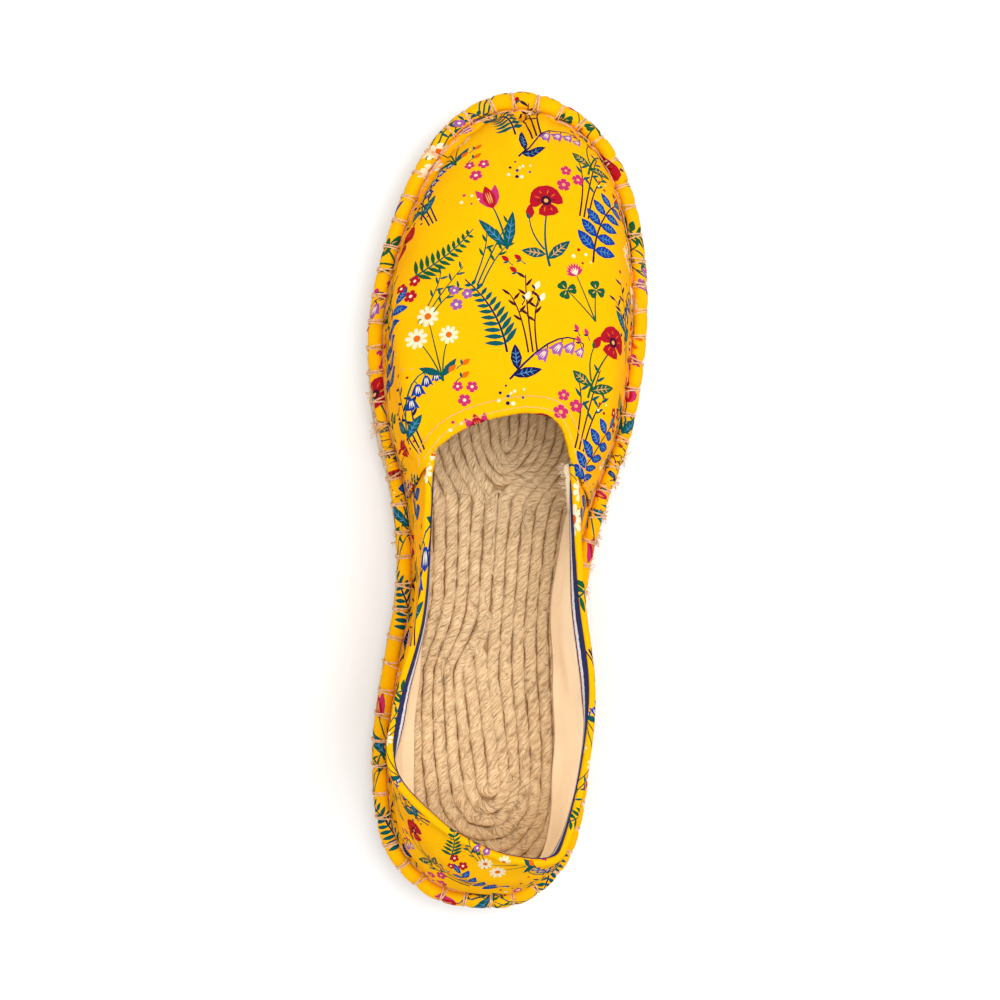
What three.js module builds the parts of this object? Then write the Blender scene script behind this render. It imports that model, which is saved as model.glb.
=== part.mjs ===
// Espadrille, left shoe: a coiled jute sole, a lined cloth upper with a turned-out hem, and a collar tape.
// Millimetres. +Z is up, +Y points to the toe, +X is the inner (medial) side of the foot.
import * as THREE from 'three';

// Driving sizes
const LENGTH = 255.2;
const BALL_WIDTH = 87.2;
const INSTEP_HEIGHT = 43;
const SOLE_HEIGHT = 17;
const FIT_GAP = 0.3;

// Upper
const WALL = 1.4;
const LINING_FOOT = 5.4;
const LINING_FOOT_RISE = 13;
const HEM_WIDTH = 5.8;
const HEM_CROWN = 3.4;
const HEM_CREASE = 1.6;
const HEM_ROUNDNESS = 0.8;
const VAMP_LAYER = 0.8;
const THROAT_FOLD = 0.7;
const FOLD_WIDTH = 5;
const SEAM_STEP = 0.35;
const LIP = 0.7;

// Sole
const SIDE_PLAITS = 3;
const PLAIT_GROOVE = 1.1;
const SIDE_INSET = 0.4;
const BOTTOM_ROUND = 1.8;
const TOP_ROUND = 1.4;
const PLAIT_INSET = 0.2;
const PLAIT_FACE = [0.28, 0.72];
const ROUND_TURNS = 8;
const COVERED_TURNS = 2;
const NEST_TURNS = 3;
const STRAND_PITCH = 3.6;
const STRAND_GROOVE = 1.3;
const STRAND_FACE = [0.3, 0.7];
const NEST_CREST = 0.5;

// Tape inside the collar
const TAPE_WIDTH = 5;
const TAPE_THICKNESS = 0.7;
const TAPE_DROP = 0.8;
const TAPE_MARGIN = 0.08;

// Steps of the meshes
const UPPER_COLUMNS = 86;
const SOLE_COLUMNS = 76;
const TAPE_COLUMNS = 64;
const WALK_STEPS = 2400;
const CURVE_STEPS = 60;
// Small changes of turn that give a direction
const PLAN_STEP = 0.02;
const WALL_STEP = 0.04;
// How strongly the wall leans straight out at its edge rather than towards its own foot
const OUT_WEIGHT = 4;
// Usual length between two rows, and the steps kept clear beside a seam
const ROW_LENGTH = 26;
const SEAM_CLEAR = 5;

// One row for each section round the shoe, from the toe tip down the inner side and back up the outer side.
// foot: outer edge of the hem. edge: top edge of the cloth above the footbed.
// rise: pull of the wall off its foot.
// reach and pitch: pull of the wall at its edge and its slope there in degrees.
const COLUMNS = ['name', 'footX', 'footY', 'edgeX', 'edgeY', 'edgeUp', 'rise', 'reach', 'pitch'];
const ROWS = [
  ['toe tip', 1.6, 127.6, 3.0, 26.3, 43.0, 20, 62, 10],
  ['inner toe', 21.9, 120.0, 7.9, 26.3, 43.0, 20, 58, 10],
  ['inner toe corner', 35.0, 103.0, 11.9, 25.3, 42.5, 21, 50, 11],
  ['inner joint', 42.2, 77.0, 14.5, 22.5, 41.8, 23, 40, 13],
  ['inner ball', 43.6, 50.0, 16.3, 18.4, 41.0, 24, 28, 17],
  ['inner ball rear', 40.6, 22.5, 18.0, 13.4, 40.0, 24, 18, 27],
  ['inner seam', 33.5, -2.0, 19.5, 8.0, 39.0, 20, 13, 55],
  ['inner waist', 29.3, -28.0, 23.4, -27.0, 40.0, 14, 14, 84],
  ['inner heel front', 31.6, -55.0, 27.6, -53.0, 42.0, 14, 14, 92],
  ['inner heel', 33.1, -82.0, 27.0, -74.5, 44.0, 15, 14, 88],
  ['inner heel corner', 29.0, -109.6, 22.6, -97.8, 45.0, 16, 14, 74],
  ['inner heel back', 15.9, -124.7, 17.8, -104.5, 45.5, 17, 15, 62],
  ['heel back', -0.6, -127.6, 5.5, -104.3, 45.5, 17, 15, 56],
  ['outer heel back', -16.5, -123.8, -4.5, -101.2, 44.0, 17, 15, 52],
  ['outer heel corner', -30.3, -109.0, -16.0, -94.8, 43.0, 16, 14, 56],
  ['outer heel', -35.1, -82.0, -29.6, -80.5, 44.0, 15, 14, 84],
  ['outer heel front', -33.4, -55.0, -29.4, -61.0, 43.0, 14, 14, 92],
  ['outer waist', -30.4, -28.0, -23.9, -33.0, 40.5, 14, 14, 84],
  ['outer seam', -33.4, -2.0, -23.4, 8.5, 39.0, 20, 13, 55],
  ['outer ball rear', -40.5, 22.5, -21.9, 13.0, 39.7, 24, 18, 27],
  ['outer ball', -43.4, 50.0, -18.6, 17.6, 40.5, 24, 28, 17],
  ['outer joint', -39.8, 77.0, -14.0, 20.9, 41.5, 23, 40, 13],
  ['outer toe corner', -31.0, 103.0, -8.5, 23.3, 42.3, 21, 50, 11],
  ['outer toe', -17.5, 120.5, -2.7, 25.1, 42.8, 20, 58, 10],
];
// The coil of the sole at the same rows. core: inner edge of the turns that run right round.
// spine: the middle of the two nests of short turns, at the ball and in the heel.
const COIL_COLUMNS = ['name', 'coreX', 'coreY', 'spineX', 'spineY'];
const COIL_ROWS = [
  ['toe tip', 1.6, 96.6, 2.2, 80.0],
  ['inner toe', 4.9, 94.6, 3.2, 79.0],
  ['inner toe corner', 8.4, 88.0, 3.7, 76.0],
  ['inner joint', 12.0, 71.0, 3.8, 66.0],
  ['inner ball', 13.2, 50.0, 3.6, 48.0],
  ['inner ball rear', 12.0, 23.0, 3.4, 30.0],
  ['inner seam', 0.8, 2.0, 0.4, 2.0],
  ['inner waist', 0.3, -27.0, 0.1, -27.0],
  ['inner heel front', 1.6, -56.0, -1.0, -56.0],
  ['inner heel', 3.4, -78.0, 1.0, -77.0],
  ['inner heel corner', 4.0, -90.0, 2.0, -87.0],
  ['inner heel back', 3.0, -94.4, 1.9, -88.6],
  ['heel back', 1.6, -95.4, 1.5, -89.0],
  ['outer heel back', 0.0, -94.4, 1.1, -88.6],
  ['outer heel corner', -1.2, -90.0, 0.8, -87.0],
  ['outer heel', -2.4, -78.0, -0.2, -77.0],
  ['outer heel front', -4.8, -56.0, -2.2, -56.0],
  ['outer waist', -0.6, -28.0, -0.4, -27.0],
  ['outer seam', -0.3, 2.0, 0.0, 2.0],
  ['outer ball rear', -9.4, 23.0, 0.6, 30.0],
  ['outer ball', -12.2, 50.0, 0.8, 48.0],
  ['outer joint', -10.4, 70.0, 0.8, 66.0],
  ['outer toe corner', -5.4, 88.0, 1.0, 76.0],
  ['outer toe', -1.4, 95.0, 1.4, 79.0],
];
const MEASURED = { length: 255.2, ballWidth: 87.2, instep: 43 };
const SCALE = {
  across: BALL_WIDTH / MEASURED.ballWidth,
  along: LENGTH / MEASURED.length,
  up: INSTEP_HEIGHT / MEASURED.instep,
};
// Scale of a column by the last letter of its name: X across, Y along, p (up) upwards.
const COLUMN_SCALE = { X: SCALE.across, Y: SCALE.along, p: SCALE.up };
function named(columns, row) {
  const section = {};
  columns.forEach((name, at) => {
    section[name] = name === 'name' ? row[at] : row[at] * (COLUMN_SCALE[name.at(-1)] ?? 1);
  });
  return section;
}
const SECTIONS = ROWS.map((row, at) => ({ ...named(COIL_COLUMNS, COIL_ROWS[at]), ...named(COLUMNS, row) }));
const turnOf = (name) => SECTIONS.findIndex((section) => section.name === name);
const INNER_SEAM = turnOf('inner seam');
const OUTER_SEAM = turnOf('outer seam');
const HEM_BASE = SOLE_HEIGHT + FIT_GAP;

// Smooth closed run of one column, turn counting rows.
function column(name, turn) {
  const count = SECTIONS.length;
  const row = Math.floor(turn);
  const part = turn - row;
  const sectionAt = (step) => SECTIONS[(((row + step) % count) + count) % count];
  const [before, here, next, after] = [-1, 0, 1, 2].map((step) => sectionAt(step)[name]);
  const linear = (next - before) * part;
  const square = (2 * before - 5 * here + 4 * next - after) * part * part;
  const cubic = (3 * here - before - 3 * next + after) * part * part * part;
  return here + (linear + square + cubic) / 2;
}

const foot = (turn) => new THREE.Vector2(column('footX', turn), column('footY', turn));
const core = (turn) => new THREE.Vector2(column('coreX', turn), column('coreY', turn));
const spine = (turn) => new THREE.Vector2(column('spineX', turn), column('spineY', turn));

// Unit direction away from the shoe in plan.
function outward(turn) {
  const run = foot(turn + PLAN_STEP).sub(foot(turn - PLAN_STEP));
  return new THREE.Vector2(-run.y, run.x).normalize();
}

// Turns spaced evenly along the outline of the foot.
function evenTurns(count) {
  const walked = [0];
  for (let i = 1; i <= WALK_STEPS; i += 1) {
    const a = foot(((i - 1) / WALK_STEPS) * SECTIONS.length);
    walked.push(walked[i - 1] + a.distanceTo(foot((i / WALK_STEPS) * SECTIONS.length)));
  }
  const turns = [];
  let at = 0;
  for (let i = 0; i < count; i += 1) {
    while (walked[at + 1] < (i / count) * walked[WALK_STEPS]) at += 1;
    const share = ((i / count) * walked[WALK_STEPS] - walked[at]) / (walked[at + 1] - walked[at]);
    turns.push(((at + share) / WALK_STEPS) * SECTIONS.length);
  }
  return turns;
}

// Wall of the cloth, by its own length: a curve from the crease beside the hem up to the edge.
const wallCurves = new Map();
function wallCurve(turn) {
  if (wallCurves.has(turn)) return wallCurves.get(turn);
  const out = outward(turn);
  const base = foot(turn).addScaledVector(out, -HEM_WIDTH);
  const crease = new THREE.Vector3(base.x, base.y, HEM_BASE + HEM_CREASE);
  const up = SOLE_HEIGHT + column('edgeUp', turn);
  const edge = new THREE.Vector3(column('edgeX', turn), column('edgeY', turn), up);
  const pitch = THREE.MathUtils.degToRad(column('pitch', turn));
  const away = new THREE.Vector2(base.x - edge.x, base.y - edge.y);
  const lean = new THREE.Vector2().copy(out).multiplyScalar(OUT_WEIGHT).add(away).normalize();
  const reach = column('reach', turn);
  const lower = crease.clone().add(new THREE.Vector3(0, 0, column('rise', turn)));
  const pull = new THREE.Vector3(lean.x * Math.cos(pitch), lean.y * Math.cos(pitch), -Math.sin(pitch));
  const upper = edge.clone().addScaledVector(pull, reach);
  const curve = new THREE.CubicBezierCurve3(crease, lower, upper, edge);
  curve.arcLengthDivisions = CURVE_STEPS;
  wallCurves.set(turn, curve);
  return curve;
}

// Point of the wall, share counting from the crease to the edge, moved off the wall by lift.
function wallPoint(turn, share, lift) {
  const at = wallCurve(turn).getPointAt(share);
  const ahead = wallCurve(turn + WALL_STEP).getPointAt(share);
  const behind = wallCurve(turn - WALL_STEP).getPointAt(share);
  const climb = wallCurve(turn).getTangentAt(share);
  const normal = climb.cross(ahead.sub(behind)).normalize();
  return at.addScaledVector(normal, lift);
}

const isVamp = (turn) => turn < INNER_SEAM || turn > OUTER_SEAM;

// Height of the outer layers over the quarter: the vamp lies on it, and the throat edge is folded over.
function layer(turn, fromEdge) {
  const vamp = isVamp(turn) ? VAMP_LAYER : 0;
  const fold = fromEdge < FOLD_WIDTH && isVamp(turn) ? THROAT_FOLD : 0;
  return vamp + fold;
}

// Thickness inside the outer face: the lining stands off the cloth at its foot.
function lining(rise) {
  const part = Math.min(rise / LINING_FOOT_RISE, 1);
  return WALL + (LINING_FOOT - WALL) * (1 - part) ** 2;
}

// One closed section of the upper: hem, outer face, folded edge, inner face.
const WALL_SHARES = [0.09, 0.19, 0.3, 0.42, 0.55, 0.68, 0.82];
const HEM_ARC = [0, 0.16, 0.36, 0.6, 0.82];
function upperSection(turn) {
  const out = outward(turn);
  const outline = foot(turn);
  const points = [];
  const hemRise = isVamp(turn) ? VAMP_LAYER : 0;
  HEM_ARC.forEach((part) => {
    const inset = (HEM_WIDTH * (1 - Math.cos(Math.PI * part))) / 2;
    const crown = (HEM_CROWN + hemRise) * Math.sin(Math.PI * part) ** HEM_ROUNDNESS + HEM_CREASE * part;
    points.push(new THREE.Vector3(outline.x - out.x * inset, outline.y - out.y * inset, HEM_BASE + crown));
  });
  const length = wallCurve(turn).getLength();
  const body = 1 - (FOLD_WIDTH + SEAM_STEP) / length;
  const foldStart = 1 - (FOLD_WIDTH - SEAM_STEP) / length;
  const outerShares = [0, ...WALL_SHARES.map((share) => share * body), body, foldStart];
  outerShares.push(1 - LIP / length);
  outerShares.forEach((share) => points.push(wallPoint(turn, share, layer(turn, (1 - share) * length))));
  const lipLift = (layer(turn, 0) - WALL) / 2;
  points.push(wallPoint(turn, 1, lipLift));
  const innerShares = outerShares.slice(1).reverse();
  innerShares.forEach((share) => {
    const rise = wallCurve(turn).getPointAt(share).z - HEM_BASE;
    points.push(wallPoint(turn, share, -lining(rise)));
  });
  const inside = outline.clone().addScaledVector(out, -HEM_WIDTH - LINING_FOOT);
  points.push(new THREE.Vector3(inside.x, inside.y, HEM_BASE));
  return points.reverse();
}

// Mesh over rows of points. closed joins the last row to the first, else the ends are covered.
function loft(rings, closed) {
  const count = rings.length;
  const size = rings[0].length;
  const positions = rings.flat().flatMap((point) => [point.x, point.y, point.z]);
  const index = [];
  const last = closed ? count : count - 1;
  for (let i = 0; i < last; i += 1) {
    for (let j = 0; j < size; j += 1) {
      const a = i * size + j;
      const b = i * size + ((j + 1) % size);
      const c = ((i + 1) % count) * size + j;
      const d = ((i + 1) % count) * size + ((j + 1) % size);
      index.push(a, c, b, b, c, d);
    }
  }
  if (!closed) {
    [0, count - 1].forEach((ring) => {
      const flat = rings[ring].map((point) => flatten(rings[ring], point));
      THREE.ShapeUtils.triangulateShape(flat, []).forEach(([a, b, c]) => {
        const corners = [a, b, c].map((corner) => ring * size + corner);
        index.push(...(ring === 0 ? corners : corners.reverse()));
      });
    });
  }
  const geometry = new THREE.BufferGeometry();
  geometry.setAttribute('position', new THREE.Float32BufferAttribute(positions, 3));
  geometry.setIndex(index);
  geometry.computeVertexNormals();
  return geometry;
}

// A ring's point in the plane of that ring.
function flatten(ring, point) {
  const normal = new THREE.Vector3();
  ring.forEach((here, at) => normal.add(here.clone().cross(ring[(at + 1) % ring.length])));
  normal.normalize();
  const side = ring[1].clone().sub(ring[0]).normalize();
  const other = normal.clone().cross(side);
  return new THREE.Vector2(point.dot(side), point.dot(other));
}

// Turns of the upper: even, with a close pair at each side seam for the step of the vamp.
function upperTurns() {
  const step = SEAM_STEP / ROW_LENGTH;
  const seams = [INNER_SEAM, OUTER_SEAM];
  const isClear = (turn) => seams.every((seam) => Math.abs(turn - seam) > SEAM_CLEAR * step);
  const clear = evenTurns(UPPER_COLUMNS).filter(isClear);
  const pairs = seams.flatMap((seam) => [seam - step, seam + step]);
  return [...clear, ...pairs].sort((a, b) => a - b);
}

function upperGeometry() {
  return loft(upperTurns().map(upperSection), true);
}

// Ring of the sole at a height, inset from the outline of the foot.
const soleTurns = evenTurns(SOLE_COLUMNS);
const rim = (turn, inset) => foot(turn).addScaledVector(outward(turn), -inset);
function sideRing(inset, z) {
  return soleTurns.map((turn) => {
    const at = rim(turn, inset);
    return new THREE.Vector3(at.x, at.y, z);
  });
}

// Ring of the footbed between two curves, share counting from the first.
// Narrow strands have shallow grooves.
function coilRing(from, to, strands, share, groove) {
  return soleTurns.map((turn) => {
    const start = from(turn);
    const end = to(turn);
    const fill = Math.min(start.distanceTo(end) / strands / STRAND_PITCH, 1);
    const at = start.lerp(end, share);
    return new THREE.Vector3(at.x, at.y, SOLE_HEIGHT - (groove ? STRAND_GROOVE * fill : 0));
  });
}

// Sole: three plaits up its side, then the turns of the coil from the rim to the spine.
function soleGeometry() {
  const plait = SOLE_HEIGHT / SIDE_PLAITS;
  const rings = [sideRing(SIDE_INSET + BOTTOM_ROUND, 0)];
  for (let k = 0; k < SIDE_PLAITS; k += 1) {
    const low = k * plait;
    PLAIT_FACE.forEach((part) => rings.push(sideRing(SIDE_INSET + PLAIT_INSET, low + plait * part)));
    if (k < SIDE_PLAITS - 1) rings.push(sideRing(SIDE_INSET + PLAIT_GROOVE, low + plait));
  }
  rings.push(sideRing(SIDE_INSET + TOP_ROUND, SOLE_HEIGHT));
  const edge = (turn) => rim(turn, SIDE_INSET);
  for (let k = COVERED_TURNS; k < ROUND_TURNS; k += 1) {
    rings.push(coilRing(edge, core, ROUND_TURNS, k / ROUND_TURNS, true));
    STRAND_FACE.forEach((part) => {
      rings.push(coilRing(edge, core, ROUND_TURNS, (k + part) / ROUND_TURNS, false));
    });
  }
  for (let k = 0; k < NEST_TURNS; k += 1) {
    rings.push(coilRing(core, spine, NEST_TURNS, k / NEST_TURNS, true));
    rings.push(coilRing(core, spine, NEST_TURNS, (k + NEST_CREST) / NEST_TURNS, false));
  }
  rings.push(coilRing(core, spine, NEST_TURNS, 1, true));
  return loft(rings, false);
}

// Tape: a flat strip along the inner face of the quarter, just under the edge.
function tapeGeometry() {
  const turns = [];
  const from = INNER_SEAM + TAPE_MARGIN;
  const to = OUTER_SEAM - TAPE_MARGIN;
  for (let i = 0; i <= TAPE_COLUMNS; i += 1) turns.push(from + ((to - from) * i) / TAPE_COLUMNS);
  const rings = turns.map((turn) => {
    const length = wallCurve(turn).getLength();
    const shares = [0, 0.5, 1].map((part) => 1 - (TAPE_DROP + TAPE_WIDTH * part) / length);
    const back = -(WALL + FIT_GAP);
    const face = back - TAPE_THICKNESS;
    const behind = shares.map((share) => wallPoint(turn, share, back));
    const front = shares.map((share) => wallPoint(turn, share, face));
    return [...behind, ...front.reverse()];
  });
  return loft(rings, false);
}

function node(name, geometry, colour, roughness) {
  const mesh = new THREE.Mesh(geometry, new THREE.MeshStandardMaterial({ color: colour, roughness }));
  mesh.name = name;
  return mesh;
}

const espadrille = new THREE.Group();
espadrille.name = 'espadrille';
espadrille.add(node('sole', soleGeometry(), 0xc39a66, 0.95));
espadrille.add(node('upper', upperGeometry(), 0xf5bd0c, 0.9));
espadrille.add(node('collar_tape', tapeGeometry(), 0x27357f, 0.9));

export default espadrille;
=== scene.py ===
"""Espadrille, left shoe: printed cloth, lining, tape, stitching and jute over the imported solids."""
import math

import bpy
import numpy as np
from mathutils import Matrix, Vector
from mathutils.bvhtree import BVHTree
from mathutils.geometry import delaunay_2d_cdt


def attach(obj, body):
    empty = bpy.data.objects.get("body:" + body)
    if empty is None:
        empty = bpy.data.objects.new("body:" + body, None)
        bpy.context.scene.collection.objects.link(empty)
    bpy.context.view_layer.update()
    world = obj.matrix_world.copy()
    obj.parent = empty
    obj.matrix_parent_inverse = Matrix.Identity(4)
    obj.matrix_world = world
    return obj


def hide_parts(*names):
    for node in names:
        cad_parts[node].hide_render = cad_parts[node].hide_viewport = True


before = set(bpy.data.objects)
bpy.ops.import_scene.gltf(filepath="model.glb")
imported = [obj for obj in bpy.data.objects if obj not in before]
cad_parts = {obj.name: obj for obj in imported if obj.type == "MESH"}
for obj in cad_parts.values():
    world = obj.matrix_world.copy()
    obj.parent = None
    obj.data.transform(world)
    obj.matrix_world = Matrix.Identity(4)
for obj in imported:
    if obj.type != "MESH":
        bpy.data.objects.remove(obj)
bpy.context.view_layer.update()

bl_info = {
    "name": "Espadrille",
    "version": (1, 0, 0),
    "blender": (4, 5, 0),
    "location": "View3D > Sidebar > Espadrille",
    "description": "Builds the cloth, stitching and jute of one espadrille",
    "category": "Object",
}

# Lengths below are millimetres until a mesh is made.
MM = 0.001
ROWS_ROUND = 24
INNER_SEAM = 6
OUTER_SEAM = 18
SEAM_RAMP = 0.04
SEED = 7

# One row for each section round the shoe, from the toe tip down the inner side and back up the outer side.
# foot x, foot y, edge x, edge y, edge above footbed, rise, reach, pitch in degrees
SECTIONS = np.array([
    (1.6, 127.6, 3.0, 26.3, 43.0, 20, 62, 10),
    (21.9, 120.0, 7.9, 26.3, 43.0, 20, 58, 10),
    (35.0, 103.0, 11.9, 25.3, 42.5, 21, 50, 11),
    (42.2, 77.0, 14.5, 22.5, 41.8, 23, 40, 13),
    (43.6, 50.0, 16.3, 18.4, 41.0, 24, 28, 17),
    (40.6, 22.5, 18.0, 13.4, 40.0, 24, 18, 27),
    (33.5, -2.0, 19.5, 8.0, 39.0, 20, 13, 55),
    (29.3, -28.0, 23.4, -27.0, 40.0, 14, 14, 84),
    (31.6, -55.0, 27.6, -53.0, 42.0, 14, 14, 92),
    (33.1, -82.0, 27.0, -74.5, 44.0, 15, 14, 88),
    (29.0, -109.6, 22.6, -97.8, 45.0, 16, 14, 74),
    (15.9, -124.7, 17.8, -104.5, 45.5, 17, 15, 62),
    (-0.6, -127.6, 5.5, -104.3, 45.5, 17, 15, 56),
    (-16.5, -123.8, -4.5, -101.2, 44.0, 17, 15, 52),
    (-30.3, -109.0, -16.0, -94.8, 43.0, 16, 14, 56),
    (-35.1, -82.0, -29.6, -80.5, 44.0, 15, 14, 84),
    (-33.4, -55.0, -29.4, -61.0, 43.0, 14, 14, 92),
    (-30.4, -28.0, -23.9, -33.0, 40.5, 14, 14, 84),
    (-33.4, -2.0, -23.4, 8.5, 39.0, 20, 13, 55),
    (-40.5, 22.5, -21.9, 13.0, 39.7, 24, 18, 27),
    (-43.4, 50.0, -18.6, 17.6, 40.5, 24, 28, 17),
    (-39.8, 77.0, -14.0, 20.9, 41.5, 23, 40, 13),
    (-31.0, 103.0, -8.5, 23.3, 42.3, 21, 50, 11),
    (-17.5, 120.5, -2.7, 25.1, 42.8, 20, 58, 10),
])
# The coil of the footbed: turn, x and y along the inner edge of the turns that run right round,
# then along the middle of the nest of short turns under the ball.
CORE = np.array([
    (0.0, 1.6, 96.6), (1.0, 4.9, 94.6), (2.0, 8.4, 88.0), (3.0, 12.0, 71.0), (4.0, 13.6, 50.0),
    (4.6, 14.2, 34.0), (5.0, 14.0, 24.0), (5.4, 13.0, 16.0), (5.7, 9.5, 10.5), (5.9, 5.0, 6.5),
    (6.0, 1.0, 3.2), (6.1, 0.2, 1.4), (6.4, -0.2, -10.0), (7.0, -0.5, -38.0), (8.0, -0.9, -55.0),
    (9.0, 3.6, -78.0), (10.0, 5.8, -89.0), (11.0, 4.2, -93.6), (12.0, 2.0, -94.6),
    (13.0, -0.4, -93.4), (14.0, -2.2, -89.0), (15.0, -4.2, -78.0), (16.0, -8.2, -54.0),
    (17.0, -0.8, -40.0), (17.6, -0.3, -10.0), (17.9, 0.1, 1.4), (18.0, -0.7, 3.2),
    (18.1, -3.0, 6.2), (18.3, -6.0, 9.5), (18.6, -8.6, 15.0), (19.0, -10.6, 24.0),
    (19.4, -11.6, 34.0), (20.0, -12.2, 50.0), (21.0, -10.4, 70.0), (22.0, -5.4, 88.0),
    (23.0, -1.4, 95.0),
])
SPINE = np.array([
    (0.0, 2.2, 80.0), (1.0, 2.6, 79.0), (2.0, 2.7, 76.0), (3.0, 2.6, 66.0), (4.0, 2.5, 48.0),
    (5.0, 2.4, 24.0), (5.4, 2.5, 20.0), (6.0, 2.4, 17.8), (18.0, 2.2, 17.8), (18.6, 2.1, 20.0),
    (19.0, 2.2, 24.0), (20.0, 2.1, 48.0), (21.0, 2.0, 66.0), (22.0, 1.8, 76.0), (23.0, 1.8, 79.0),
])
# Short turns: front end, back end and half width between the two legs
SHORT_TURNS = [
    ((-5.0, -49.5), (2.0, -89.3), 2.0),
    ((0.1, 1.8), (-0.3, -22.0), 0.75),
    ((-1.6, -37.0), (-4.4, -46.6), 1.1),
]

# Heights and thicknesses
SOLE_TOP = 17.0
HEM_BASE = 17.3
HEM_CROWN = 3.2
HEM_CREASE = 1.6
CREASE_DEPTH = 0.7
HEM_TUCK = 1.5
HEM_TUCK_TURN = 18.8
HEM_TUCK_REACH = 0.6
HEM_TUCK_FLAT = 0.45
LEDGE_RISE = 0.2
VAMP_LAYER = 0.8
THROAT_FOLD = 0.7
VAMP_LIP = 0.85
QUARTER_LIP = 1.15
QUARTER_BEAD = 1.0
BEAD_CREASE = 0.55
LINING_WALL = 1.4
LINING_FOOT = 5.4
LINING_INSET = 12.0
LINING_FOOT_RISE = 24.0
LINING_MEETS = 2.7
FRAYED_TURNS = (5.6, 6.42)

# Sole
ROUND_TURNS = 8
COVERED_TURNS = 2
NEST_TURNS = 4
SIDE_PLAITS = 3
PLAIT_STRANDS = 3
STRAND_LAY = 6.4
PLAIT_LAY = 9.0

# Share up a cloth section: -2 outer foot of the hem, -1 its crease, 0 foot of the wall, 1 the edge,
# then the round lip and the drop inside it.
LIP_SHARE = 0.3
LAST_SHARE = 1 + 2 * LIP_SHARE
LIP_DROP = 2.6
TINY_TURN = 0.02
TINY_SHARE = 0.015


def linear(red, green, blue):
    """Screen colour, 0 to 255, as the linear colour that a shader takes."""
    steps = [value / 255 for value in (red, green, blue)]
    return tuple(s / 12.92 if s <= 0.04045 else ((s + 0.055) / 1.055) ** 2.4 for s in steps)


class EspadrilleSizes(bpy.types.PropertyGroup):
    """Sizes of the cloth, the stitching and the rope"""

    hem_width: bpy.props.FloatProperty(
        name="Hem width", description="Width of the turned-out hem roll",
        default=0.0046, unit="LENGTH")
    ledge_width: bpy.props.FloatProperty(
        name="Ledge width", description="Cloth between the hem roll and the rising wall",
        default=0.0013, unit="LENGTH")
    stitch_spacing: bpy.props.FloatProperty(
        name="Stitch spacing", description="Distance between blanket stitches round the hem",
        default=0.0082, unit="LENGTH")
    thread_radius: bpy.props.FloatProperty(
        name="Thread radius", description="Radius of the blanket stitch thread",
        default=0.00026, unit="LENGTH")
    fold_width: bpy.props.FloatProperty(
        name="Throat fold", description="Width of the folded band at the throat",
        default=0.005, unit="LENGTH")
    cloth_thickness: bpy.props.FloatProperty(
        name="Cloth thickness", description="Thickness of the printed cotton",
        default=0.0005, unit="LENGTH")
    rope_height: bpy.props.FloatProperty(
        name="Rope height", description="Height of one strand of the footbed",
        default=0.0038, unit="LENGTH")
    tape_width: bpy.props.FloatProperty(
        name="Tape width", description="Width of the striped tape inside the collar",
        default=0.0036, unit="LENGTH")


class EspadrilleColours(bpy.types.PropertyGroup):
    """Colours of the materials"""

    cotton: bpy.props.FloatVectorProperty(
        name="Cotton", description="Ground of the printed cotton", subtype="COLOR",
        default=linear(252, 184, 5))
    lining: bpy.props.FloatVectorProperty(
        name="Lining", description="Unbleached cotton lining", subtype="COLOR",
        default=linear(255, 233, 199))
    jute: bpy.props.FloatVectorProperty(
        name="Jute", description="Pale fibres of the rope", subtype="COLOR",
        default=linear(244, 219, 180))
    # Also the colour of the whole core, which shows in the gaps between the strands as painted shade.
    jute_shade: bpy.props.FloatVectorProperty(
        name="Jute shade", description="Darker fibres of the rope", subtype="COLOR",
        default=linear(192, 155, 111))
    thread: bpy.props.FloatVectorProperty(
        name="Thread", description="Peach thread of the stitching", subtype="COLOR",
        default=linear(240, 196, 152))
    tape_blue: bpy.props.FloatVectorProperty(
        name="Tape blue", description="Navy band of the collar tape", subtype="COLOR",
        default=linear(24, 33, 92))
    tape_white: bpy.props.FloatVectorProperty(
        name="Tape white", description="White band of the collar tape", subtype="COLOR",
        default=linear(240, 237, 242))
    tape_red: bpy.props.FloatVectorProperty(
        name="Tape red", description="Red line of the collar tape", subtype="COLOR",
        default=linear(120, 25, 40))
    floor: bpy.props.FloatVectorProperty(
        name="Floor", description="Pale floor", subtype="COLOR",
        default=linear(246, 246, 246))


# Colours of the print as drawn on the cloth
PRINT_COLOURS = {
    "red": linear(176, 22, 40),
    "magenta": linear(196, 48, 104),
    "blue": linear(18, 58, 146),
    "navy": linear(22, 28, 78),
    "teal": linear(14, 84, 88),
    "lilac": linear(156, 88, 158),
    "plum": linear(62, 24, 44),
    "cream": linear(240, 226, 190),
    "orange": linear(226, 104, 14),
    "peach": linear(238, 168, 98),
    "green": linear(26, 88, 54),
    "sky": linear(84, 138, 190),
}


def mm(name):
    """A size property in millimetres."""
    return getattr(bpy.context.scene.espadrille_sizes, name) / MM


def colour(name):
    """A colour property as red, green, blue and alpha."""
    return (*getattr(bpy.context.scene.espadrille_colours, name), 1.0)


# Curves of the shoe
def unit(vectors):
    return vectors / np.linalg.norm(vectors, axis=-1, keepdims=True)


def left_of(run):
    """Plan direction a quarter turn to the left of another."""
    return np.stack([-run[..., 1], run[..., 0]], axis=-1)


def run_lengths(points, axis=0):
    """Length along a run up to each of its points."""
    steps = np.linalg.norm(np.diff(points, axis=axis), axis=-1)
    start = np.zeros_like(np.take(steps, [0], axis=axis))
    return np.concatenate([start, np.cumsum(steps, axis=axis)], axis=axis)


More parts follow.
